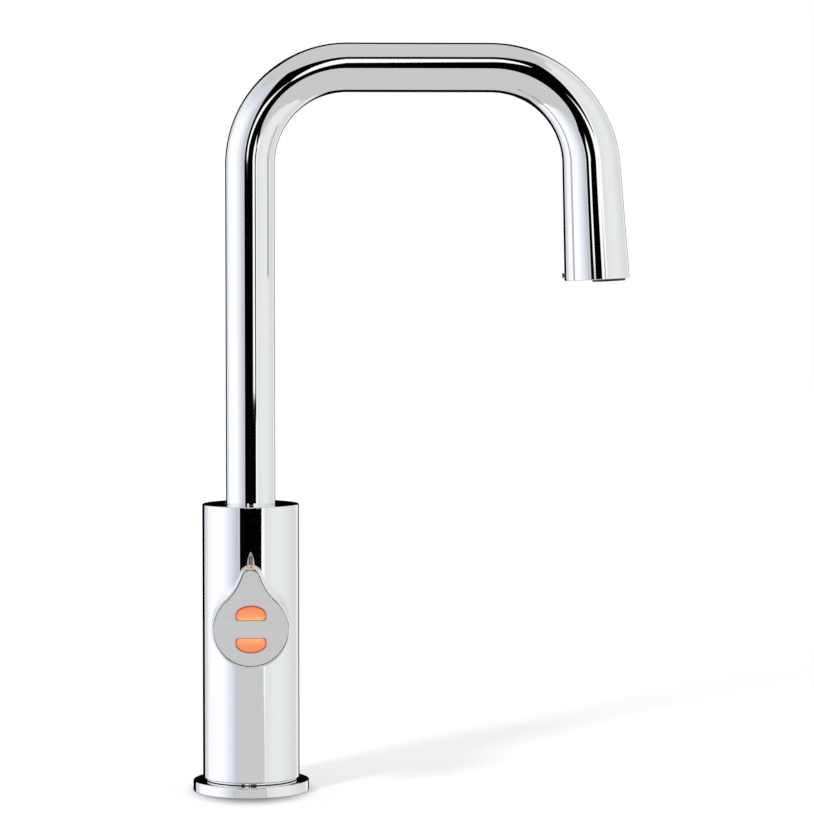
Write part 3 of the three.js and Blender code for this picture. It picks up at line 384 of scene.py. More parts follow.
CHROME_GAIN = 1.31  # makes up for the light that chrome keeps
DOME_COLOUR = colour(232, 233, 235)
DOME_STRENGTH = 0.85
LIT_STRENGTH = 0.17  # of the light behind the buttons and the pointer

FLOOR_SIZE = (4.0, 2.6, 1.0)  # half its width and depth
FLOOR_MIDDLE = (0, 1.42, 0)
FLOOR_REFLECTS = 0.8
FLOOR_GLOW = 0.33
PAINTED_SHADE_STRETCH = 0.66  # the painted shadow at the flange fades more slowly towards the front and the back
PAINTED_SHADE_START = 0.60  # in flange radii
PAINTED_SHADE_END = 1.22
PAINTED_SHADE_DARKEST = 0.30

LAMP_WAY = Vector((0.61, 0.79, -0.55))
LAMP_STRENGTH = 1.3
LAMP_ANGLE = math.radians(9)


def room_colours(tree, azimuth, elevation):
    """The walls between a plain floor and a plain ceiling, with haze high on the left wall."""
    walls = ramp(tree, azimuth, WALLS, -ALL_ROUND, ALL_ROUND)
    sideways = calc(tree, "ABSOLUTE", azimuth)
    floor_edge = curve(tree, sideways, FLOOR_EDGE)
    ceiling_edge = curve(tree, azimuth, CEILING_EDGE)
    haze = both(
        tree,
        inside(tree, azimuth, -140.0, -22.0, 4.0),
        step_up(tree, elevation, 31.0, 22.0),
    )
    on_floor = step_up(tree, floor_edge, elevation, 0.5)
    on_ceiling = step_up(tree, elevation, ceiling_edge, 1.5)
    seen = blend_colours(tree, haze, walls, HAZE)
    seen = blend_colours(tree, on_floor, seen, PLAIN_GREY)
    return blend_colours(tree, on_ceiling, seen, PLAIN_GREY)


def black_card(tree, azimuth, elevation):
    """The large black card behind the camera."""
    return both(
        tree,
        step_up(tree, azimuth, curve(tree, elevation, CARD_LEFT), 0.8),
        step_up(tree, curve(tree, elevation, CARD_RIGHT), azimuth, 0.8),
        step_up(tree, elevation, CARD_BOTTOM, 0.3),
        step_up(tree, curve(tree, azimuth, CARD_TOP), elevation, 0.8),
    )


def white_sail(tree, azimuth, elevation):
    """The white card in front of the black one, which gives the long light line on the spout."""
    return both(
        tree,
        inside(tree, azimuth, *SAIL_SPAN, 0.3),
        step_up(tree, elevation, curve(tree, azimuth, SAIL_LOW), 0.6),
        step_up(tree, curve(tree, azimuth, SAIL_HIGH), elevation, 0.6),
    )


def white_strip(tree, azimuth, elevation):
    """The narrow white card to the left of the sail."""
    return both(
        tree,
        step_up(tree, azimuth, STRIP_LEFT, 0.6),
        step_up(tree, curve(tree, elevation, STRIP_RIGHT), azimuth, 0.6),
        inside(tree, elevation, *STRIP_LEVELS, 1.6),
    )


def white_gap(tree, azimuth, elevation):
    """The gap through the black card, low on the right."""
    return both(
        tree,
        inside(tree, azimuth, *GAP_SPAN, 0.6),
        step_up(tree, elevation, GAP_BOTTOM, 0.3),
        step_up(tree, curve(tree, azimuth, GAP_TOP), elevation, 0.6),
    )


def black_wedge(tree, azimuth, elevation):
    """The dark wedge in the gap's right side, which fades upwards."""
    return both(
        tree,
        inside(tree, azimuth, *WEDGE_SPAN, 0.5),
        step_up(tree, elevation, WEDGE_BOTTOM, 0.3),
        curve(tree, elevation, WEDGE_DEPTH),
    )


def studio_colours(tree):
    """All that the chrome shows, by direction: the room, and its cards from the back to the front."""
    way = add_node(tree, "ShaderNodeTexCoord").outputs["Generated"]
    axes = add_node(tree, "ShaderNodeSeparateXYZ", {0: way}).outputs
    turn = calc(tree, "ARCTAN2", axes["X"], calc(tree, "MULTIPLY", axes["Y"], -1.0))
    azimuth = calc(tree, "DEGREES", turn)
    elevation = calc(tree, "DEGREES", calc(tree, "ARCSINE", axes["Z"]))
    seen = room_colours(tree, azimuth, elevation)
    for card, tint in (
        (black_card, CARD_BLACK),
        (white_sail, CARD_WHITE),
        (white_strip, CARD_WHITE),
        (white_gap, GAP_WHITE),
        (black_wedge, CARD_BLACK),
    ):
        seen = blend_colours(tree, card(tree, azimuth, elevation), seen, tint)
    return seen


def chrome_looks(tree, path):
    """1 for the rays that leave a mirror or a clear piece, which see the studio's own colours."""
    return calc(tree, "MAXIMUM", path["Is Glossy Ray"], path["Is Transmission Ray"])


def set_world():
    world = bpy.data.worlds.new("studio")
    world.use_nodes = True
    bpy.context.scene.world = world
    tree = world.node_tree
    tree.nodes.clear()
    path = add_node(tree, "ShaderNodeLightPath").outputs
    mirrored = chrome_looks(tree, path)
    cards = add_node(tree, "ShaderNodeBackground", {
        "Color": studio_colours(tree), "Strength": CHROME_GAIN,
    }).outputs[0]
    dome = add_node(tree, "ShaderNodeBackground", {
        "Color": DOME_COLOUR, "Strength": DOME_STRENGTH,
    }).outputs[0]
    backdrop = add_node(tree, "ShaderNodeBackground", {
        "Color": (1, 1, 1, 1), "Strength": 1.0,
    }).outputs[0]
    lit = add_node(tree, "ShaderNodeMixShader", {0: mirrored, 1: dome, 2: cards}).outputs[0]
    shown = add_node(tree, "ShaderNodeMixShader", {
        0: path["Is Camera Ray"], 1: lit, 2: backdrop,
    }).outputs[0]
    add_node(tree, "ShaderNodeOutputWorld", {"Surface": shown})


def floor_finish():
    """White, with a painted soft shadow round the flange. Chrome looks through it to the studio's
    colours.
    """
    material = bpy.data.materials.new("white_sweep")
    material.use_nodes = True
    tree = material.node_tree
    tree.nodes.clear()
    path = add_node(tree, "ShaderNodeLightPath").outputs
    place = add_node(tree, "ShaderNodeTexCoord").outputs["Object"]
    axes = add_node(tree, "ShaderNodeSeparateXYZ", {0: place}).outputs
    # painted contact shadow: the floor's colour and glow darken towards the flange, by distance from
    # the tap's axis
    depth = calc(tree, "MULTIPLY", axes["Y"], PAINTED_SHADE_STRETCH)
    away = calc(tree, "DIVIDE", distance(tree, axes["X"], depth), FLANGE_RADIUS * MM)
    shade = add_node(tree, "ShaderNodeMapRange", {
        "Value": away,
        "From Min": PAINTED_SHADE_START,
        "From Max": PAINTED_SHADE_END,
        "To Min": PAINTED_SHADE_DARKEST,
        "To Max": 1.0,
    }, interpolation_type="SMOOTHSTEP").outputs["Result"]
    white = add_node(tree, "ShaderNodeCombineColor", {0: shade, 1: shade, 2: shade}).outputs[0]
    paint = blend_colours(tree, FLOOR_REFLECTS, (0, 0, 0, 1), white)
    matt = add_node(tree, "ShaderNodeBsdfDiffuse", {"Color": paint}).outputs[0]
    glow = add_node(tree, "ShaderNodeEmission", {"Color": white, "Strength": FLOOR_GLOW}).outputs[0]
    seen = add_node(tree, "ShaderNodeAddShader", {0: matt, 1: glow}).outputs[0]
    clear = add_node(tree, "ShaderNodeBsdfTransparent").outputs[0]
    shown = add_node(tree, "ShaderNodeMixShader", {
        0: chrome_looks(tree, path), 1: seen, 2: clear,
    }).outputs[0]
    add_node(tree, "ShaderNodeOutputMaterial", {"Surface": shown})
    return material


def add_floor():
    """The white surface that the tap stands on."""
    bm = bmesh.new()
    bmesh.ops.create_grid(bm, x_segments=1, y_segments=1, size=1.0)
    bmesh.ops.scale(bm, vec=FLOOR_SIZE, verts=bm.verts)
    bmesh.ops.translate(bm, vec=FLOOR_MIDDLE, verts=bm.verts)
    mesh = bpy.data.meshes.new("floor")
    bm.to_mesh(mesh)
    bm.free()
    mesh.materials.append(floor_finish())
    floor = bpy.data.objects.new("floor", mesh)
    bpy.context.scene.collection.objects.link(floor)


def add_lamp():
    """One soft lamp from the left front, which chrome doesn't show."""
    lamp = bpy.data.objects.new("lamp", bpy.data.lights.new("lamp", "SUN"))
    bpy.context.scene.collection.objects.link(lamp)
    lamp.data.energy = LAMP_STRENGTH
    lamp.data.angle = LAMP_ANGLE
    lamp.rotation_euler = LAMP_WAY.to_track_quat("-Z", "Y").to_euler()
    lamp.visible_glossy = False


# ---- finishes ----

TOOL_MARKS = 0.00001  # the depth of a satin or turned face's marks, in metres
MOULD_GRAIN = 0.00003  # and of a moulded face's grain


def start_finish(name, settings):
    """A material with its shader set, and the piece's own coordinates to pattern it with."""
    material = bpy.data.materials.new(name)
    material.use_nodes = True
    tree = material.node_tree
    shader = tree.nodes["Principled BSDF"]
    for key, value in settings.items():
        shader.inputs[key].default_value = value
    place = add_node(tree, "ShaderNodeTexCoord").outputs["Object"]
    return material, tree, shader, place


def noise(tree, place, scale, detail=2.0):
    node = add_node(tree, "ShaderNodeTexNoise", {"Vector": place, "Scale": scale, "Detail": detail})
    return node.outputs["Fac"]


def vary(tree, shader, socket, value, low, high):
    """Drives a number of the shader between two values."""
    node = add_node(tree, "ShaderNodeMapRange", {
        "Value": value, "From Min": 0.3, "From Max": 0.7, "To Min": low, "To Max": high,
    })
    tree.links.new(node.outputs["Result"], shader.inputs[socket])


def roughen(tree, shader, height, depth):
    bump = add_node(tree, "ShaderNodeBump", {"Height": height, "Distance": depth})
    tree.links.new(bump.outputs["Normal"], shader.inputs["Normal"])


def chrome_finish():
    material, tree, shader, place = start_finish("polished_chrome", {"Metallic": 1.0})
    tint = blend_colours(tree, noise(tree, place, 9.0), (0.755, 0.76, 0.77, 1), (0.77, 0.77, 0.775, 1))
    tree.links.new(tint, shader.inputs["Base Color"])
    vary(tree, shader, "Roughness", noise(tree, place, 55.0, 4.0), 0.012, 0.034)
    return material


def satin_finish():
    material, tree, shader, place = start_finish("satin_chrome", {"Metallic": 0.45})
    stretched = add_node(tree, "ShaderNodeMapping", {"Vector": place, "Scale": (30.0, 400.0, 900.0)})
    grain = noise(tree, stretched.outputs[0], 1.0, 3.0)
    tint = blend_colours(tree, grain, (0.643, 0.643, 0.647, 1), (0.677, 0.677, 0.681, 1))
    tree.links.new(tint, shader.inputs["Base Color"])
    vary(tree, shader, "Roughness", grain, 0.30, 0.42)
    roughen(tree, shader, grain, TOOL_MARKS)
    return material


def turned_metal(name, bright, dark, low, high):
    """Machined metal: fine turning marks round it, and a slightly uneven colour."""
    material, tree, shader, place = start_finish(name, {"Metallic": 1.0})
    tint = blend_colours(tree, noise(tree, place, 120.0, 5.0), bright, dark)
    tree.links.new(tint, shader.inputs["Base Color"])
    marks = add_node(tree, "ShaderNodeMapping", {"Vector": place, "Scale": (60.0, 60.0, 5000.0)})
    lines = noise(tree, marks.outputs[0], 1.0, 2.0)
    vary(tree, shader, "Roughness", lines, low, high)
    roughen(tree, shader, lines, TOOL_MARKS)
    return material


def moulded(name, light, dark, low, high):
    """Moulded plastic or rubber with a fine grain."""
    material, tree, shader, place = start_finish(name, {})
    tint = blend_colours(tree, noise(tree, place, 90.0, 3.0), light, dark)
    tree.links.new(tint, shader.inputs["Base Color"])
    grain = noise(tree, place, 1800.0, 3.0)
    vary(tree, shader, "Roughness", grain, low, high)
    roughen(tree, shader, grain, MOULD_GRAIN)
    return material


def circuit_finish():
    material, tree, shader, place = start_finish("circuit_board", {"Specular IOR Level": 0.5})
    tracks = add_node(tree, "ShaderNodeTexBrick", {
        "Vector": place, "Scale": 420.0, "Mortar Size": 0.06, "Color1": (0.01, 0.11, 0.05, 1),
        "Color2": (0.012, 0.13, 0.06, 1), "Mortar": (0.03, 0.25, 0.11, 1),
    })
    tree.links.new(tracks.outputs["Color"], shader.inputs["Base Color"])
    vary(tree, shader, "Roughness", noise(tree, place, 300.0), 0.25, 0.4)
    return material


def light_up(tree, shader, place, glow, speck, share):
    """Back-lights a piece with its colours, slightly mottled."""
    mottled = blend_colours(tree, noise(tree, place, 700.0), glow, speck)
    softened = blend_colours(tree, share, glow, mottled)
    shader.inputs["Roughness"].default_value = 0.25
    shader.inputs["Emission Strength"].default_value = LIT_STRENGTH
    tree.links.new(softened, shader.inputs["Base Color"])
    tree.links.new(softened, shader.inputs["Emission Color"])


def lit_finish(name, middle_level, straight_side):
    """Back-lit orange plastic, palest towards its straight side and red-brown round its outline."""
    material, tree, shader, place = start_finish(name, {})
    axes = add_node(tree, "ShaderNodeSeparateXYZ", {0: place}).outputs
    across = calc(tree, "DIVIDE", axes["X"], BUTTON_HALF_WIDTH * MM)
    rise = calc(tree, "SUBTRACT", axes["Z"], middle_level * MM)
    upward = calc(tree, "DIVIDE", rise, BUTTON_DOME * MM)
    reach = distance(tree, across, upward)
    inwards = calc(tree, "MULTIPLY", upward, straight_side)
    body = ramp(tree, inwards, [
        (-1.0, colour(236, 116, 74)),
        (-0.2, colour(240, 134, 86)),
        (0.5, colour(247, 168, 108)),
    ], -1.0, 1.0)
    outline = add_node(tree, "ShaderNodeMapRange", {"Value": reach, "From Min": 0.84, "From Max": 1.0})
    glow = blend_colours(tree, outline.outputs["Result"], body, colour(172, 58, 36))
    light_up(tree, shader, place, glow, colour(240, 136, 90), 0.12)
    return material


def lens_finish():
    """The pointer's back-lit strip, paler in its middle than at its two ends."""
    material, tree, shader, place = start_finish("lens_lit", {})
    axes = add_node(tree, "ShaderNodeSeparateXYZ", {0: place}).outputs
    sideways = calc(tree, "ABSOLUTE", calc(tree, "DIVIDE", axes["X"], LENS_HALF_WIDTH * MM))
    glow = ramp(tree, sideways, [
        (0.0, colour(226, 154, 116)),
        (0.7, colour(222, 140, 102)),
        (1.0, colour(205, 108, 76)),
    ])
    light_up(tree, shader, place, glow, colour(255, 196, 156), 0.2)
    return material


# ---- shape helpers: every bmesh here is in millimetres ----

def lathe(bm, profile, steps=ROUND):
    """Turns a closed profile of (radius, level, rounding) corners about Z, in an empty bmesh."""
    corners = [bm.verts.new((radius, 0, level)) for radius, level, rounding in profile]
    for corner, following in zip(corners, corners[1:] + corners[:1]):
        bm.edges.new((corner, following))
    for corner, (radius, level, rounding) in zip(corners, profile):
        if rounding:
            bmesh.ops.bevel(
                bm, geom=[corner], offset=rounding, segments=5, profile=0.5,
                affect="VERTICES", material=-1,
            )
    bmesh.ops.spin(
        bm, geom=bm.verts[:] + bm.edges[:], cent=(0, 0, 0), axis=(0, 0, 1),
        angle=2 * math.pi, steps=steps, use_merge=True,
    )
    bmesh.ops.remove_doubles(bm, verts=bm.verts, dist=1e-4)


def rod(bm, radius, low, high, steps=96, upper_radius=None):
    """An upright rod between two levels, or a cone with an upper radius of its own."""
    verts = bmesh.ops.create_cone(
        bm, cap_ends=True, segments=steps, depth=high - low,
        radius1=radius, radius2=upper_radius or radius,
    )["verts"]
    bmesh.ops.translate(bm, vec=(0, 0, (low + high) / 2), verts=verts)
    return verts


def draw_arcs(bm, start, arcs):
    """A closed outline in an empty bmesh: one point, turned about each centre in its turn."""
    pen = bm.verts.new((*start, 0))
    for centre, degrees, steps in arcs:
        drawn = bmesh.ops.spin(
            bm, geom=[pen], cent=(*centre, 0), axis=(0, 0, 1),
            angle=math.radians(degrees), steps=steps,
        )["geom_last"]
        pen = next(part for part in drawn if isinstance(part, bmesh.types.BMVert))
    bmesh.ops.remove_doubles(bm, verts=bm.verts, dist=1e-3)


def fill_and_raise(bm, bottom, top):
    """Fills the outline in a bmesh and makes it a slab between two levels."""
    face = bmesh.ops.contextual_create(bm, geom=bm.edges[:])["faces"][0]
    raise_face(bm, face, bottom, top)


def raise_face(bm, face, bottom, top):
    """Makes a flat face at level 0 a slab between two levels."""
    bmesh.ops.translate(bm, vec=(0, 0, bottom), verts=bm.verts)
    raised = bmesh.ops.extrude_face_region(bm, geom=[face], use_keep_orig=True)["geom"]
    upper = [part for part in raised if isinstance(part, bmesh.types.BMVert)]
    bmesh.ops.translate(bm, vec=(0, 0, top - bottom), verts=upper)


def lever_outline(bm, offset):
    """The lever's drop outline, drawn with a compass and moved outwards by an offset."""
    big = FACE_RADIUS + FLANK_RADIUS
    small = TIP_RADIUS + FLANK_RADIUS
    flank_y = (TIP_CENTRE ** 2 + big ** 2 - small ** 2) / (2 * TIP_CENTRE)
    flank_x = math.sqrt(big ** 2 - flank_y ** 2)
    to_flank = math.atan2(flank_y, flank_x)
    from_tip = math.atan2(flank_y - TIP_CENTRE, flank_x)
    main = FACE_RADIUS + offset
    start = (main * math.cos(to_flank), main * math.sin(to_flank))
    flank_turn = math.degrees(from_tip - to_flank)
    draw_arcs(bm, start, [
        ((flank_x, flank_y), flank_turn, 24),
        ((0, TIP_CENTRE), 180 - 2 * math.degrees(from_tip), 32),
        ((-flank_x, flank_y), flank_turn, 24),
        ((0, 0), 180 + 2 * math.degrees(to_flank), 120),
    ])


def edges_at(bm, level):
    """The sharp edges at a level."""
    return [
        edge for edge in bm.edges
        if all(abs(vert.co.z - level) < 1e-3 for vert in edge.verts)
        and len(edge.link_faces) == 2 and edge.calc_face_angle() > math.radians(40)
    ]


def round_edges(bm, edges, offset, segments=4):
    bmesh.ops.bevel(
        bm, geom=edges, offset=offset, segments=segments, profile=0.5,
        affect="EDGES", material=-1, clamp_overlap=True,
    )


def soften_edges(piece, width):
    soften = piece.modifiers.new("soft_edges", "BEVEL")
    soften.width = width * MM
    soften.segments = 3
    soften.limit_method = "ANGLE"
    soften.angle_limit = math.radians(50)


def as_object(bm, name, place=None):
    """Moves a bmesh to its place, turns it to metres and makes it an object at the origin."""
    if place:
        bmesh.ops.transform(bm, matrix=place, verts=bm.verts)
    bmesh.ops.recalc_face_normals(bm, faces=bm.faces)
    bmesh.ops.scale(bm, vec=(MM, MM, MM), verts=bm.verts)
    mesh = bpy.data.meshes.new(name)
    bm.to_mesh(mesh)
    bm.free()
    piece = bpy.data.objects.new(name, mesh)
    bpy.context.scene.collection.objects.link(piece)
    return piece


def cut_away(piece, cutters):
    """Cuts other objects out of a piece, and deletes them."""
    for cutter in cutters:
        cut = piece.modifiers.new("cut", "BOOLEAN")
        cut.operation = "DIFFERENCE"
        cut.solver = "EXACT"
        cut.object = cutter
    settled = piece.evaluated_get(bpy.context.evaluated_depsgraph_get())
    mesh = bpy.data.meshes.new_from_object(settled)
    piece.modifiers.clear()
    piece.data = mesh
    for cutter in cutters:
        bpy.data.objects.remove(cutter)


def dress(piece, finish, body, node, sharp=35):
    """Gives a finished piece its shading, finish and body, and hides the frame node it stands for."""
    mesh = piece.data
    mesh.materials.clear()
    mesh.materials.append(finish)
    mesh.shade_smooth()
    mesh.set_sharp_from_angle(angle=math.radians(sharp))
    weigh = piece.modifiers.new("even_shading", "WEIGHTED_NORMAL")
    weigh.keep_sharp = True
    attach(piece, body)
    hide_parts(node)


# ---- base and body ----

def make_flange(chrome):
    bm = bmesh.new()
    bore = SHANK_RADIUS + FIT_GAP
    lathe(bm, [
        (bore, flange_low.z, 0),
        (FLANGE_RADIUS, flange_low.z, 0.35),
        (FLANGE_RADIUS, flange_high.z, 0.7),
        (bore, flange_high.z, 0),
    ])
    dress(as_object(bm, "flange"), chrome, "tap_body", "base_flange")


def make_gasket(rubber):
    low, high = span("base_gasket")
    bm = bmesh.new()
    lathe(bm, [
        (GASKET_INNER_RADIUS, low.z, 0.5),
        (GASKET_OUTER_RADIUS, low.z, 0.5),
        (GASKET_OUTER_RADIUS, high.z, 0.5),
        (GASKET_INNER_RADIUS, high.z, 0.5),
    ])
    dress(as_object(bm, "gasket"), rubber, "tap_body", "base_gasket")


def make_shank(brass):
    """The hollow brass shank, with a thread cut up from its lower end."""
    bm = bmesh.new()
    root = SHANK_RADIUS - THREAD_DEPTH
    lathe(bm, [
        (SHANK_BORE, shank_low.z, 0.4),
        (root, shank_low.z, 0.4),
        (root, THREAD_TOP, 0),
        (SHANK_RADIUS, THREAD_TOP, 0.3),
        (SHANK_RADIUS, shank_high.z, 0.4),
        (SHANK_BORE, shank_high.z, 0.4),
    ], 96)
    shank = as_object(bm, "shank")
    dress(shank, brass, "tap_body", "threaded_shank")

    bm = bmesh.new()
    start = shank_low.z + THREAD_RUN_IN
    tooth = (
        (root - THREAD_SINK, -THREAD_FOOT),
        (SHANK_RADIUS, -THREAD_CREST),
        (SHANK_RADIUS, THREAD_CREST),
        (root - THREAD_SINK, THREAD_FOOT),
    )
    bm.faces.new([bm.verts.new((radius, 0, start + rise)) for radius, rise in tooth])
    turns = math.floor((THREAD_TOP - start) / THREAD_PITCH)
    bmesh.ops.spin(
        bm, geom=bm.verts[:] + bm.edges[:] + bm.faces[:], cent=(0, 0, 0), axis=(0, 0, 1),
        dvec=(0, 0, THREAD_PITCH / THREAD_STEPS), angle=turns * 2 * math.pi, steps=turns * THREAD_STEPS,
    )
    dress(as_object(bm, "shank_thread"), brass, "tap_body", "threaded_shank", sharp=25)


def make_horseshoe(name, finish, node, soft):
    """A disc that slides round the shank from the back."""
    low, high = span(node)
    hole = SHANK_RADIUS + FIT_GAP
    bm = bmesh.new()
    rod(bm, CLAMP_RADIUS, low.z, high.z, 128)
    piece = as_object(bm, name)
    bm = bmesh.new()
    rod(bm, hole, low.z - OVER, high.z + OVER)
    round_hole = as_object(bm, "round_hole")
    bm = bmesh.new()
    slot_length = CLAMP_RADIUS + OVER
    bmesh.ops.create_cube(bm, size=1)
    bmesh.ops.scale(bm, vec=(2 * hole, slot_length, high.z - low.z + 2 * OVER), verts=bm.verts)
    bmesh.ops.translate(bm, vec=(0, slot_length / 2, (low.z + high.z) / 2), verts=bm.verts)
    cut_away(piece, [round_hole, as_object(bm, "slot")])
    soften_edges(piece, soft)
    dress(piece, finish, "tap_body", node)


def make_nut(brass):
    """The hexagon nut, its corners turned off at both ends."""
    corner = NUT_FLAT / math.cos(math.pi / 6)
    bm = bmesh.new()
    rod(bm, corner, nut_low.z, nut_high.z, 6)
    bmesh.ops.rotate(bm, cent=(0, 0, 0), matrix=Matrix.Rotation(math.pi / 6, 3, "Z"), verts=bm.verts)
    nut = as_object(bm, "nut")
    cutters = []
    start = NUT_FLAT - NUT_CHAMFER
    reach = corner + 2 * OVER
    for end, inwards in ((nut_low.z, 1), (nut_high.z, -1)):
        bm = bmesh.new()
        lathe(bm, [
            (start, end, 0),
            (reach, end + inwards * (reach - start) * NUT_CHAMFER_SLOPE, 0),
            (reach, end - inwards * OVER, 0),
            (start, end - inwards * OVER, 0),
        ], 96)
        cutters.append(as_object(bm, "nut_chamfer"))
    bm = bmesh.new()
    rod(bm, SHANK_RADIUS + FIT_GAP, nut_low.z - OVER, nut_high.z + OVER)
    cutters.append(as_object(bm, "nut_bore"))
    cut_away(nut, cutters)
    soften_edges(nut, 0.3)
    dress(nut, brass, "tap_body", "lock_nut")


def make_retaining_screw(steel):
    """The grub screw at the body's back, with its key hole."""
    backwards = Matrix.Translation((0, 0, SCREW_LEVEL)) @ Matrix.Rotation(-math.pi / 2, 4, "X")
    bm = bmesh.new()
    tip_end = screw_low.y + SCREW_TIP_LENGTH
    rod(bm, SCREW_RADIUS, tip_end, screw_high.y, 48)
    round_edges(bm, edges_at(bm, screw_high.y), 0.4)
    screw = as_object(bm, "grub_screw", backwards)
    key_end = screw_high.y - SCREW_KEY_DEPTH
    cut_away(screw, [hex_key("grub_key", SCREW_KEY_RADIUS, key_end, screw_high.y + OVER, backwards)])
    dress(screw, steel, "tap_body", "retaining_screw")
    bm = bmesh.new()
    rod(bm, SCREW_TIP_RADIUS, screw_low.y, tip_end + SCREW_TIP_ROOT, 32)
    round_edges(bm, edges_at(bm, screw_low.y), 0.3)
    dress(as_object(bm, "grub_screw_tip", backwards), steel, "tap_body", "retaining_screw")


def make_neck(chrome):
    bm = bmesh.new()
    bore = SHANK_RADIUS + FIT_GAP
    spigot = BODY_RADIUS - BODY_WALL - FIT_GAP
    lathe(bm, [
        (bore, neck_low.z, 0),
        (NECK_RADIUS, neck_low.z, 0.15),
        (NECK_RADIUS, neck_low.z + NECK_HEIGHT, 0.15),
        (spigot, neck_low.z + NECK_HEIGHT, 0),
        (spigot, neck_high.z, 0.5),
        (bore, neck_high.z, 0),
    ])
    dress(as_object(bm, "neck"), chrome, "tap_body", "carrier_ring")


def make_body(chrome):
    """The upright tube with its flat top. The boss and the retaining screw have holes of their own."""
    bm = bmesh.new()
    inner = BODY_RADIUS - BODY_WALL
    spout_hole = TUBE_RADIUS + FIT_GAP
    lathe(bm, [
        (inner, body_low.z, 0.2),
        (BODY_RADIUS, body_low.z, 0.35),
        (BODY_RADIUS, body_high.z, 0.6),
        (spout_hole, body_high.z, 0.4),
        (spout_hole, body_high.z - BODY_TOP_PLATE, 0),
        (inner, body_high.z - BODY_TOP_PLATE, 0),
    ])
    body = as_object(bm, "body")
    boss_hole = cross_rod("boss_hole", BOSS_RADIUS, -1, KNOB_LEVEL, ROUND)
    screw_hole = cross_rod("screw_hole", SCREW_RADIUS + FIT_GAP, 1, SCREW_LEVEL, 48)
    cut_away(body, [boss_hole, screw_hole])
    dress(body, chrome, "tap_body", "body_shell")


def cross_rod(name, radius, side, level, steps):
    """A rod from inside the body's wall out through it, towards the front (-1) or the back (1)."""
    bm = bmesh.new()
    bmesh.ops.create_cone(
        bm, cap_ends=True, segments=steps, radius1=radius, radius2=radius, depth=BODY_RADIUS,
    )
    place = Matrix.Translation((0, side * BODY_RADIUS, level)) @ Matrix.Rotation(math.pi / 2, 4, "X")
    return as_object(bm, name, place)


def make_boss(chrome):
    bm = bmesh.new()
    back, front = -boss_high.y, -boss_low.y
    lathe(bm, [
        (BOSS_BORE, back, 0),
        (BOSS_RADIUS, back, 0.3),
        (BOSS_RADIUS, front, 0.5),
        (BOSS_BORE, front, 0.2),
    ])
    boss = as_object(bm, "boss", LEVER_PLACE)
    dress(boss, chrome, "tap_body", "control_boss")


# ---- spout ----

def drop_width(turn):
    """The leg's width after a turn round its bend, which grows faster towards the bend's end."""
    growth = DROP_WIDTH_AT_BEND - 2 * TUBE_RADIUS
    return 2 * TUBE_RADIUS + growth * (turn / DROP_TURN) ** FLARE_POWER


def extrude_ring(bm, edges):
    """Extrudes a ring of edges in place, and gives the new ring's edges and points."""
    done = bmesh.ops.extrude_edge_only(bm, edges=edges)["geom"]
    new_edges = [part for part in done if isinstance(part, bmesh.types.BMEdge)]
    new_verts = [part for part in done if isinstance(part, bmesh.types.BMVert)]
    return new_edges, new_verts


def widen(bm, verts, inner, factor):
    """Makes a ring larger about its inner point, which stays."""
    bmesh.ops.scale(bm, vec=(factor, factor, factor), space=Matrix.Translation(-inner), verts=verts)


def make_spout(chrome):
    """One tube: up, round a bend, along, and round a second bend that flares into the drop leg."""
    bm = bmesh.new()
    ring = bmesh.ops.create_circle(bm, cap_ends=False, segments=TUBE_STEPS, radius=TUBE_RADIUS)["verts"]
    bmesh.ops.translate(bm, vec=(0, 0, tube_low.z), verts=ring)
    edges, verts = extrude_ring(bm, bm.edges[:])
    bmesh.ops.translate(bm, vec=(0, 0, BEND_LEVEL - tube_low.z), verts=verts)
    bend = bmesh.ops.spin(
        bm, geom=edges, cent=(BEND_RADIUS, 0, BEND_LEVEL), axis=(0, 1, 0),
        angle=math.pi / 2, steps=BEND_STEPS,
    )["geom_last"]
    edges = [part for part in bend if isinstance(part, bmesh.types.BMEdge)]
    edges, verts = extrude_ring(bm, edges)
    bmesh.ops.translate(bm, vec=(SPOUT_RUN, 0, 0), verts=verts)

    step = DROP_TURN / BEND_STEPS
    for i in range(BEND_STEPS):
        turn = i * step
        inner = DROP_BEND + Vector((math.sin(turn), 0, math.cos(turn))) * BEND_INSIDE
        edges, verts = extrude_ring(bm, edges)
        widen(bm, verts, inner, drop_width(turn + step) / drop_width(turn))
        bmesh.ops.rotate(bm, cent=DROP_BEND, matrix=Matrix.Rotation(step, 3, "Y"), verts=verts)

    edges, verts = extrude_ring(bm, edges)
    bmesh.ops.translate(bm, vec=DROP_WAY, verts=verts)
    widen(bm, verts, DROP_INSIDE, DROP_WIDTH_AT_END / DROP_WIDTH_AT_BEND)
    bmesh.ops.rotate(bm, cent=DROP_INSIDE, matrix=Matrix.Rotation(-DROP_TAPER, 3, "Y"), verts=verts)

    bmesh.ops.recalc_face_normals(bm, faces=bm.faces)
    bmesh.ops.solidify(bm, geom=bm.faces[:], thickness=TUBE_WALL)
    rims = [edge for edge in bm.edges if edge.calc_face_angle(0) > math.radians(60)]
    round_edges(bm, rims, TUBE_END_ROUNDING, 3)
    spout = as_object(bm, "spout")
    dress(spout, chrome, "spout", "spout_tube")


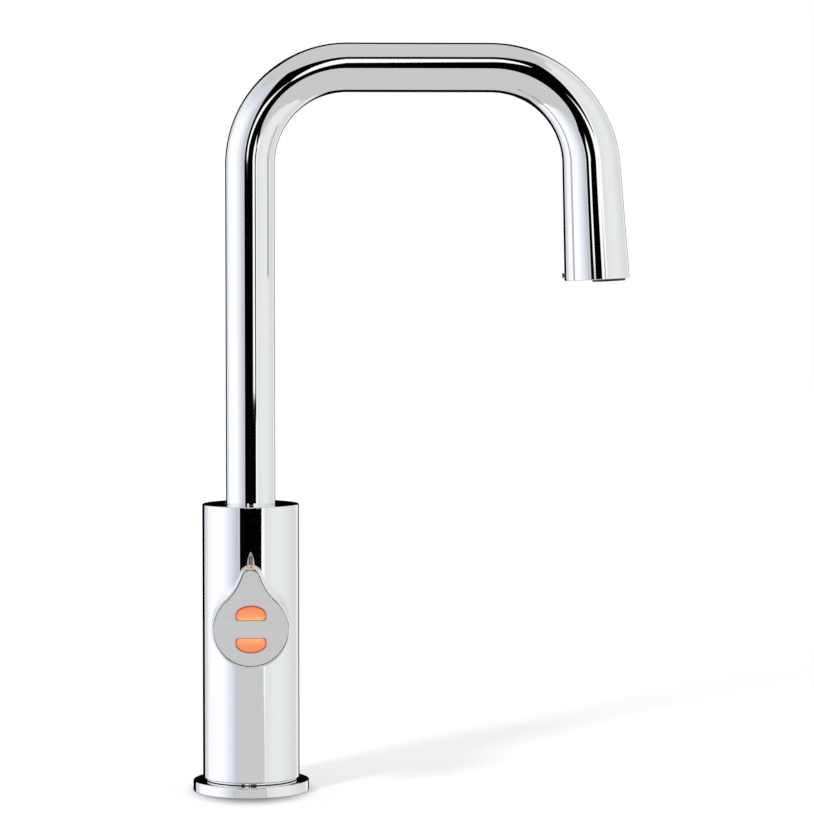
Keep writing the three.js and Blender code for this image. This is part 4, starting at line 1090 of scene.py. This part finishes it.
def make_outlet(black):
    """The black plug in the leg's end, with the round nozzle that stands proud of it."""
    bm = bmesh.new()
    mouth_radius = DROP_WIDTH_AT_END / 2 - TUBE_WALL - FIT_GAP
    narrowing = math.tan(DROP_TAPER)
    rod(
        bm, mouth_radius - OUTLET_RECESS * narrowing, OUTLET_RECESS, OUTLET_DEPTH,
        upper_radius=mouth_radius - OUTLET_DEPTH * narrowing,
    )
    round_edges(bm, edges_at(bm, OUTLET_RECESS), 0.3)
    plug = as_object(bm, "outlet", TIP_PLACE)

    bm = bmesh.new()
    lathe(bm, [
        (NOZZLE_BORE, -NOZZLE_PROUD, 0.25),
        (NOZZLE_RADIUS, -NOZZLE_PROUD, 0.35),
        (NOZZLE_RADIUS, OUTLET_RECESS + NOZZLE_ROOT, 0),
        (NOZZLE_BORE, OUTLET_RECESS + NOZZLE_ROOT, 0),
    ], 96)
    bmesh.ops.translate(bm, vec=(NOZZLE_OFFSET, 0, 0), verts=bm.verts)
    nozzle = as_object(bm, "outlet_nozzle", TIP_PLACE)

    bm = bmesh.new()
    rod(bm, NOZZLE_BORE, BORE_START, OUTLET_RECESS + STRAIGHTENER_DEPTH + FIT_GAP)
    bmesh.ops.translate(bm, vec=(NOZZLE_OFFSET, 0, 0), verts=bm.verts)
    cut_away(plug, [as_object(bm, "mouth", TIP_PLACE)])
    dress(plug, black, "spout", "outlet_insert")
    dress(nozzle, black, "spout", "outlet_insert")


def make_straightener(white):
    """The disc of small holes that steadies the stream, up in the nozzle."""
    place = TIP_PLACE @ Matrix.Translation((NOZZLE_OFFSET, 0, 0))
    low, high = OUTLET_RECESS, OUTLET_RECESS + STRAIGHTENER_DEPTH
    bm = bmesh.new()
    rod(bm, NOZZLE_BORE - FIT_GAP, low, high, 64)
    round_edges(bm, edges_at(bm, low), 0.3)
    disc = as_object(bm, "straightener", place)
    bm = bmesh.new()
    rod(bm, STREAM_HOLE_RADIUS, low - OVER, high + OVER, 24)
    for i in range(STREAM_HOLES):
        hole = rod(bm, STREAM_HOLE_RADIUS, low - OVER, high + OVER, 24)
        turn = Matrix.Rotation(i * 2 * math.pi / STREAM_HOLES, 3, "Z")
        bmesh.ops.translate(bm, vec=(NOZZLE_BORE / 2, 0, 0), verts=hole)
        bmesh.ops.rotate(bm, cent=(0, 0, 0), matrix=turn, verts=hole)
    cut_away(disc, [as_object(bm, "stream_holes", place)])
    dress(disc, white, "spout", "flow_straightener")


def hex_key(name, radius, low, high, place):
    bm = bmesh.new()
    rod(bm, radius, low, high, 6)
    return as_object(bm, name, place)


def make_outlet_screw(dark_steel):
    """The screw that holds the plug, on the leg's inner side, with its key hole."""
    wall = DROP_WIDTH_AT_END / 2 - OUTLET_SCREW_LEVEL * math.tan(DROP_TAPER)
    outwards = Matrix.Rotation(-math.pi / 2, 4, "Y")
    place = TIP_PLACE @ Matrix.Translation((-wall, 0, OUTLET_SCREW_LEVEL)) @ outwards
    front = FIT_GAP + OUTLET_SCREW_HEAD_HEIGHT
    bm = bmesh.new()
    rod(bm, OUTLET_SCREW_HEAD, FIT_GAP, front, 48)
    round_edges(bm, edges_at(bm, front), 0.35)
    head = as_object(bm, "outlet_screw", place)
    key_end = front - OUTLET_KEY_DEPTH
    cut_away(head, [hex_key("outlet_key", OUTLET_KEY_RADIUS, key_end, front + OVER, place)])
    dress(head, dark_steel, "spout", "outlet_screw")
    bm = bmesh.new()
    end = wall - DROP_WIDTH_AT_END / 2 - OUTLET_SCREW_LENGTH
    rod(bm, OUTLET_SCREW_RADIUS, end, FIT_GAP + OUTLET_SCREW_ROOT, 24)
    dress(as_object(bm, "outlet_screw_shank", place), dark_steel, "spout", "outlet_screw")


# ---- lever ----

def make_lever(chrome):
    """The drop-shaped block: a rounded rim round the recess for its face, and a seat for the lens."""
    bm = bmesh.new()
    lever_outline(bm, RIM_WIDTH)
    fill_and_raise(bm, LEVER_BACK, LEVER_FRONT)
    round_edges(bm, edges_at(bm, LEVER_FRONT), RIM_ROUNDING, 6)
    front = max(bm.faces, key=lambda face: face.calc_center_median().z)
    land = RIM_WIDTH - FIT_GAP / 2 - RIM_ROUNDING
    bmesh.ops.inset_region(bm, faces=[front], thickness=land, use_even_offset=True)
    sunk = bmesh.ops.extrude_discrete_faces(bm, faces=[front])["faces"][0]
    bmesh.ops.translate(bm, vec=(0, 0, -FACE_RECESS_DEPTH), verts=sunk.verts)
    round_edges(bm, edges_at(bm, LEVER_FRONT), RIM_INNER_ROUNDING, 2)
    round_edges(bm, edges_at(bm, LEVER_BACK), LEVER_BACK_ROUNDING)
    lever = as_object(bm, "lever", LEVER_PLACE)
    cut_away(lever, [lens_strip("lens_seat", FIT_GAP / 2, OVER)])
    dress(lever, chrome, "lever", "lever_body")


def lens_block(across, level):
    """A block larger than the lever, past the lens on one side, or below it where across is 0."""
    bm = bmesh.new()
    size = 60.0
    bmesh.ops.create_cube(bm, size=size)
    if across:
        middle = (across + math.copysign(size / 2, across), TIP_CENTRE, level)
    else:
        middle = (0, TIP_CENTRE - size / 2, level)
    bmesh.ops.translate(bm, vec=middle, verts=bm.verts)
    return as_object(bm, "lens_block", LEVER_PLACE)


def lens_strip(name, gap, proud):
    """The slice of the tip's wall that the lens fills, made larger by a gap."""
    bm = bmesh.new()
    bottom, top = LENS_BACK - gap, LENS_FRONT + gap
    lever_outline(bm, RIM_WIDTH + proud)
    fill_and_raise(bm, bottom, top)
    strip = as_object(bm, name, LEVER_PLACE)
    bm = bmesh.new()
    lever_outline(bm, RIM_WIDTH - LENS_THICKNESS - gap)
    fill_and_raise(bm, bottom - OVER, top + OVER)
    core = as_object(bm, "lens_core", LEVER_PLACE)
    half_width = LENS_HALF_WIDTH + gap
    blocks = [lens_block(across, (top + bottom) / 2) for across in (-half_width, half_width, 0)]
    cut_away(strip, [core, *blocks])
    return strip


def make_lens(lit):
    lens = lens_strip("lens", 0, 0)
    soften_edges(lens, 0.2)
    dress(lens, lit, "lever", "pointer_lens")


def button_outline(bm, side, offset):
    """An oval cut off by a straight edge towards the lever's axis, with its two corners rounded."""
    middle = side * (BUTTON_EDGE + BUTTON_FOOT)
    made = bmesh.ops.create_circle(bm, cap_ends=True, segments=96, radius=1)["verts"]
    bmesh.ops.scale(bm, vec=(BUTTON_HALF_WIDTH + offset, BUTTON_DOME + offset, 1), verts=made)
    bmesh.ops.translate(bm, vec=(0, middle, 0), verts=made)
    edge_level = side * (BUTTON_EDGE - offset)
    bmesh.ops.bisect_plane(
        bm, geom=bm.verts[:] + bm.edges[:] + bm.faces[:], plane_co=(0, edge_level, 0),
        plane_no=(0, -side, 0), clear_outer=True,
    )
    corners = [v for v in bm.verts if abs(v.co.y - edge_level) < 1e-4]
    bmesh.ops.bevel(
        bm, geom=corners, offset=BUTTON_CORNER, segments=8, profile=0.5,
        affect="VERTICES", material=-1,
    )
    return bm.faces[:][0]


def button_slab(name, side, offset, bottom, top, soft=0.0):
    bm = bmesh.new()
    raise_face(bm, button_outline(bm, side, offset), bottom, top)
    if soft:
        round_edges(bm, edges_at(bm, top), soft, 5)
    return as_object(bm, name, LEVER_PLACE)


def make_face(satin):
    bm = bmesh.new()
    lever_outline(bm, -FIT_GAP / 2)
    fill_and_raise(bm, FACE_BACK, FACE_FRONT)
    face = as_object(bm, "face", LEVER_PLACE)
    cut_away(face, [
        button_slab("opening", side, FIT_GAP, FACE_BACK - OVER, FACE_FRONT + OVER) for side in (1, -1)
    ])
    soften_edges(face, 0.12)
    dress(face, satin, "lever", "lever_face")


def make_button(name, side, lit, node):
    back = -span(node)[1].y
    button = button_slab(name, side, 0, back, BUTTON_FRONT, BUTTON_ROUNDING)
    dress(button, lit, node, node)


# ---- everything ----

def finish_inner_nodes(finishes):
    """The frame's own solids that stay get the finish of their slot."""
    slots = {part["node"]: part["material_slot"] for part in frame["record"]["subparts"]}
    for name, solid in frame["nodes"].items():
        solid.data.materials.clear()
        solid.data.materials.append(finishes[slots[name]])


def build():
    chrome = chrome_finish()
    satin = satin_finish()
    black = moulded("black_plastic", (0.012, 0.012, 0.012, 1), (0.02, 0.02, 0.02, 1), 0.32, 0.48)
    rubber = moulded("rubber", (0.018, 0.018, 0.018, 1), (0.03, 0.03, 0.03, 1), 0.6, 0.8)
    white = moulded("white_plastic", (0.72, 0.71, 0.66, 1), (0.78, 0.77, 0.72, 1), 0.4, 0.55)
    tube = moulded("water_tube", (0.66, 0.7, 0.72, 1), (0.74, 0.77, 0.79, 1), 0.25, 0.4)
    brass = turned_metal("brass", (0.66, 0.47, 0.18, 1), (0.56, 0.39, 0.14, 1), 0.24, 0.42)
    steel = turned_metal("steel", (0.55, 0.55, 0.56, 1), (0.45, 0.46, 0.47, 1), 0.26, 0.4)
    dark_steel = turned_metal("dark_steel", (0.16, 0.16, 0.17, 1), (0.1, 0.1, 0.11, 1), 0.26, 0.4)
    lens_lit = lens_finish()
    select_lit = lit_finish("select_lit", KNOB_LEVEL + BUTTON_EDGE + BUTTON_FOOT, -1.0)
    safety_lit = lit_finish("safety_lit", KNOB_LEVEL - BUTTON_EDGE - BUTTON_FOOT, 1.0)
    finish_inner_nodes({
        "chrome": chrome, "satin_chrome": satin, "brass": brass, "steel": steel,
        "black_plastic": black, "white_plastic": white, "water_tube": tube, "rubber": rubber,
        "lit_lens": lens_lit, "circuit_board": circuit_finish(),
    })
    make_gasket(rubber)
    make_shank(brass)
    make_horseshoe("clamp_pad", rubber, "clamp_gasket", 0.4)
    make_horseshoe("clamp_washer", steel, "clamp_plate", 0.25)
    make_nut(brass)
    make_flange(chrome)
    make_neck(chrome)
    make_body(chrome)
    make_boss(chrome)
    make_retaining_screw(steel)
    make_spout(chrome)
    make_outlet(black)
    make_straightener(white)
    make_outlet_screw(dark_steel)
    make_lever(chrome)
    make_lens(lens_lit)
    make_face(satin)
    make_button("button_select", 1, select_lit, "select_button")
    make_button("button_safety", -1, safety_lit, "safety_button")


set_camera()
set_world()
add_floor()
add_lamp()
build()
bpy.context.scene.view_settings.view_transform = "Standard"
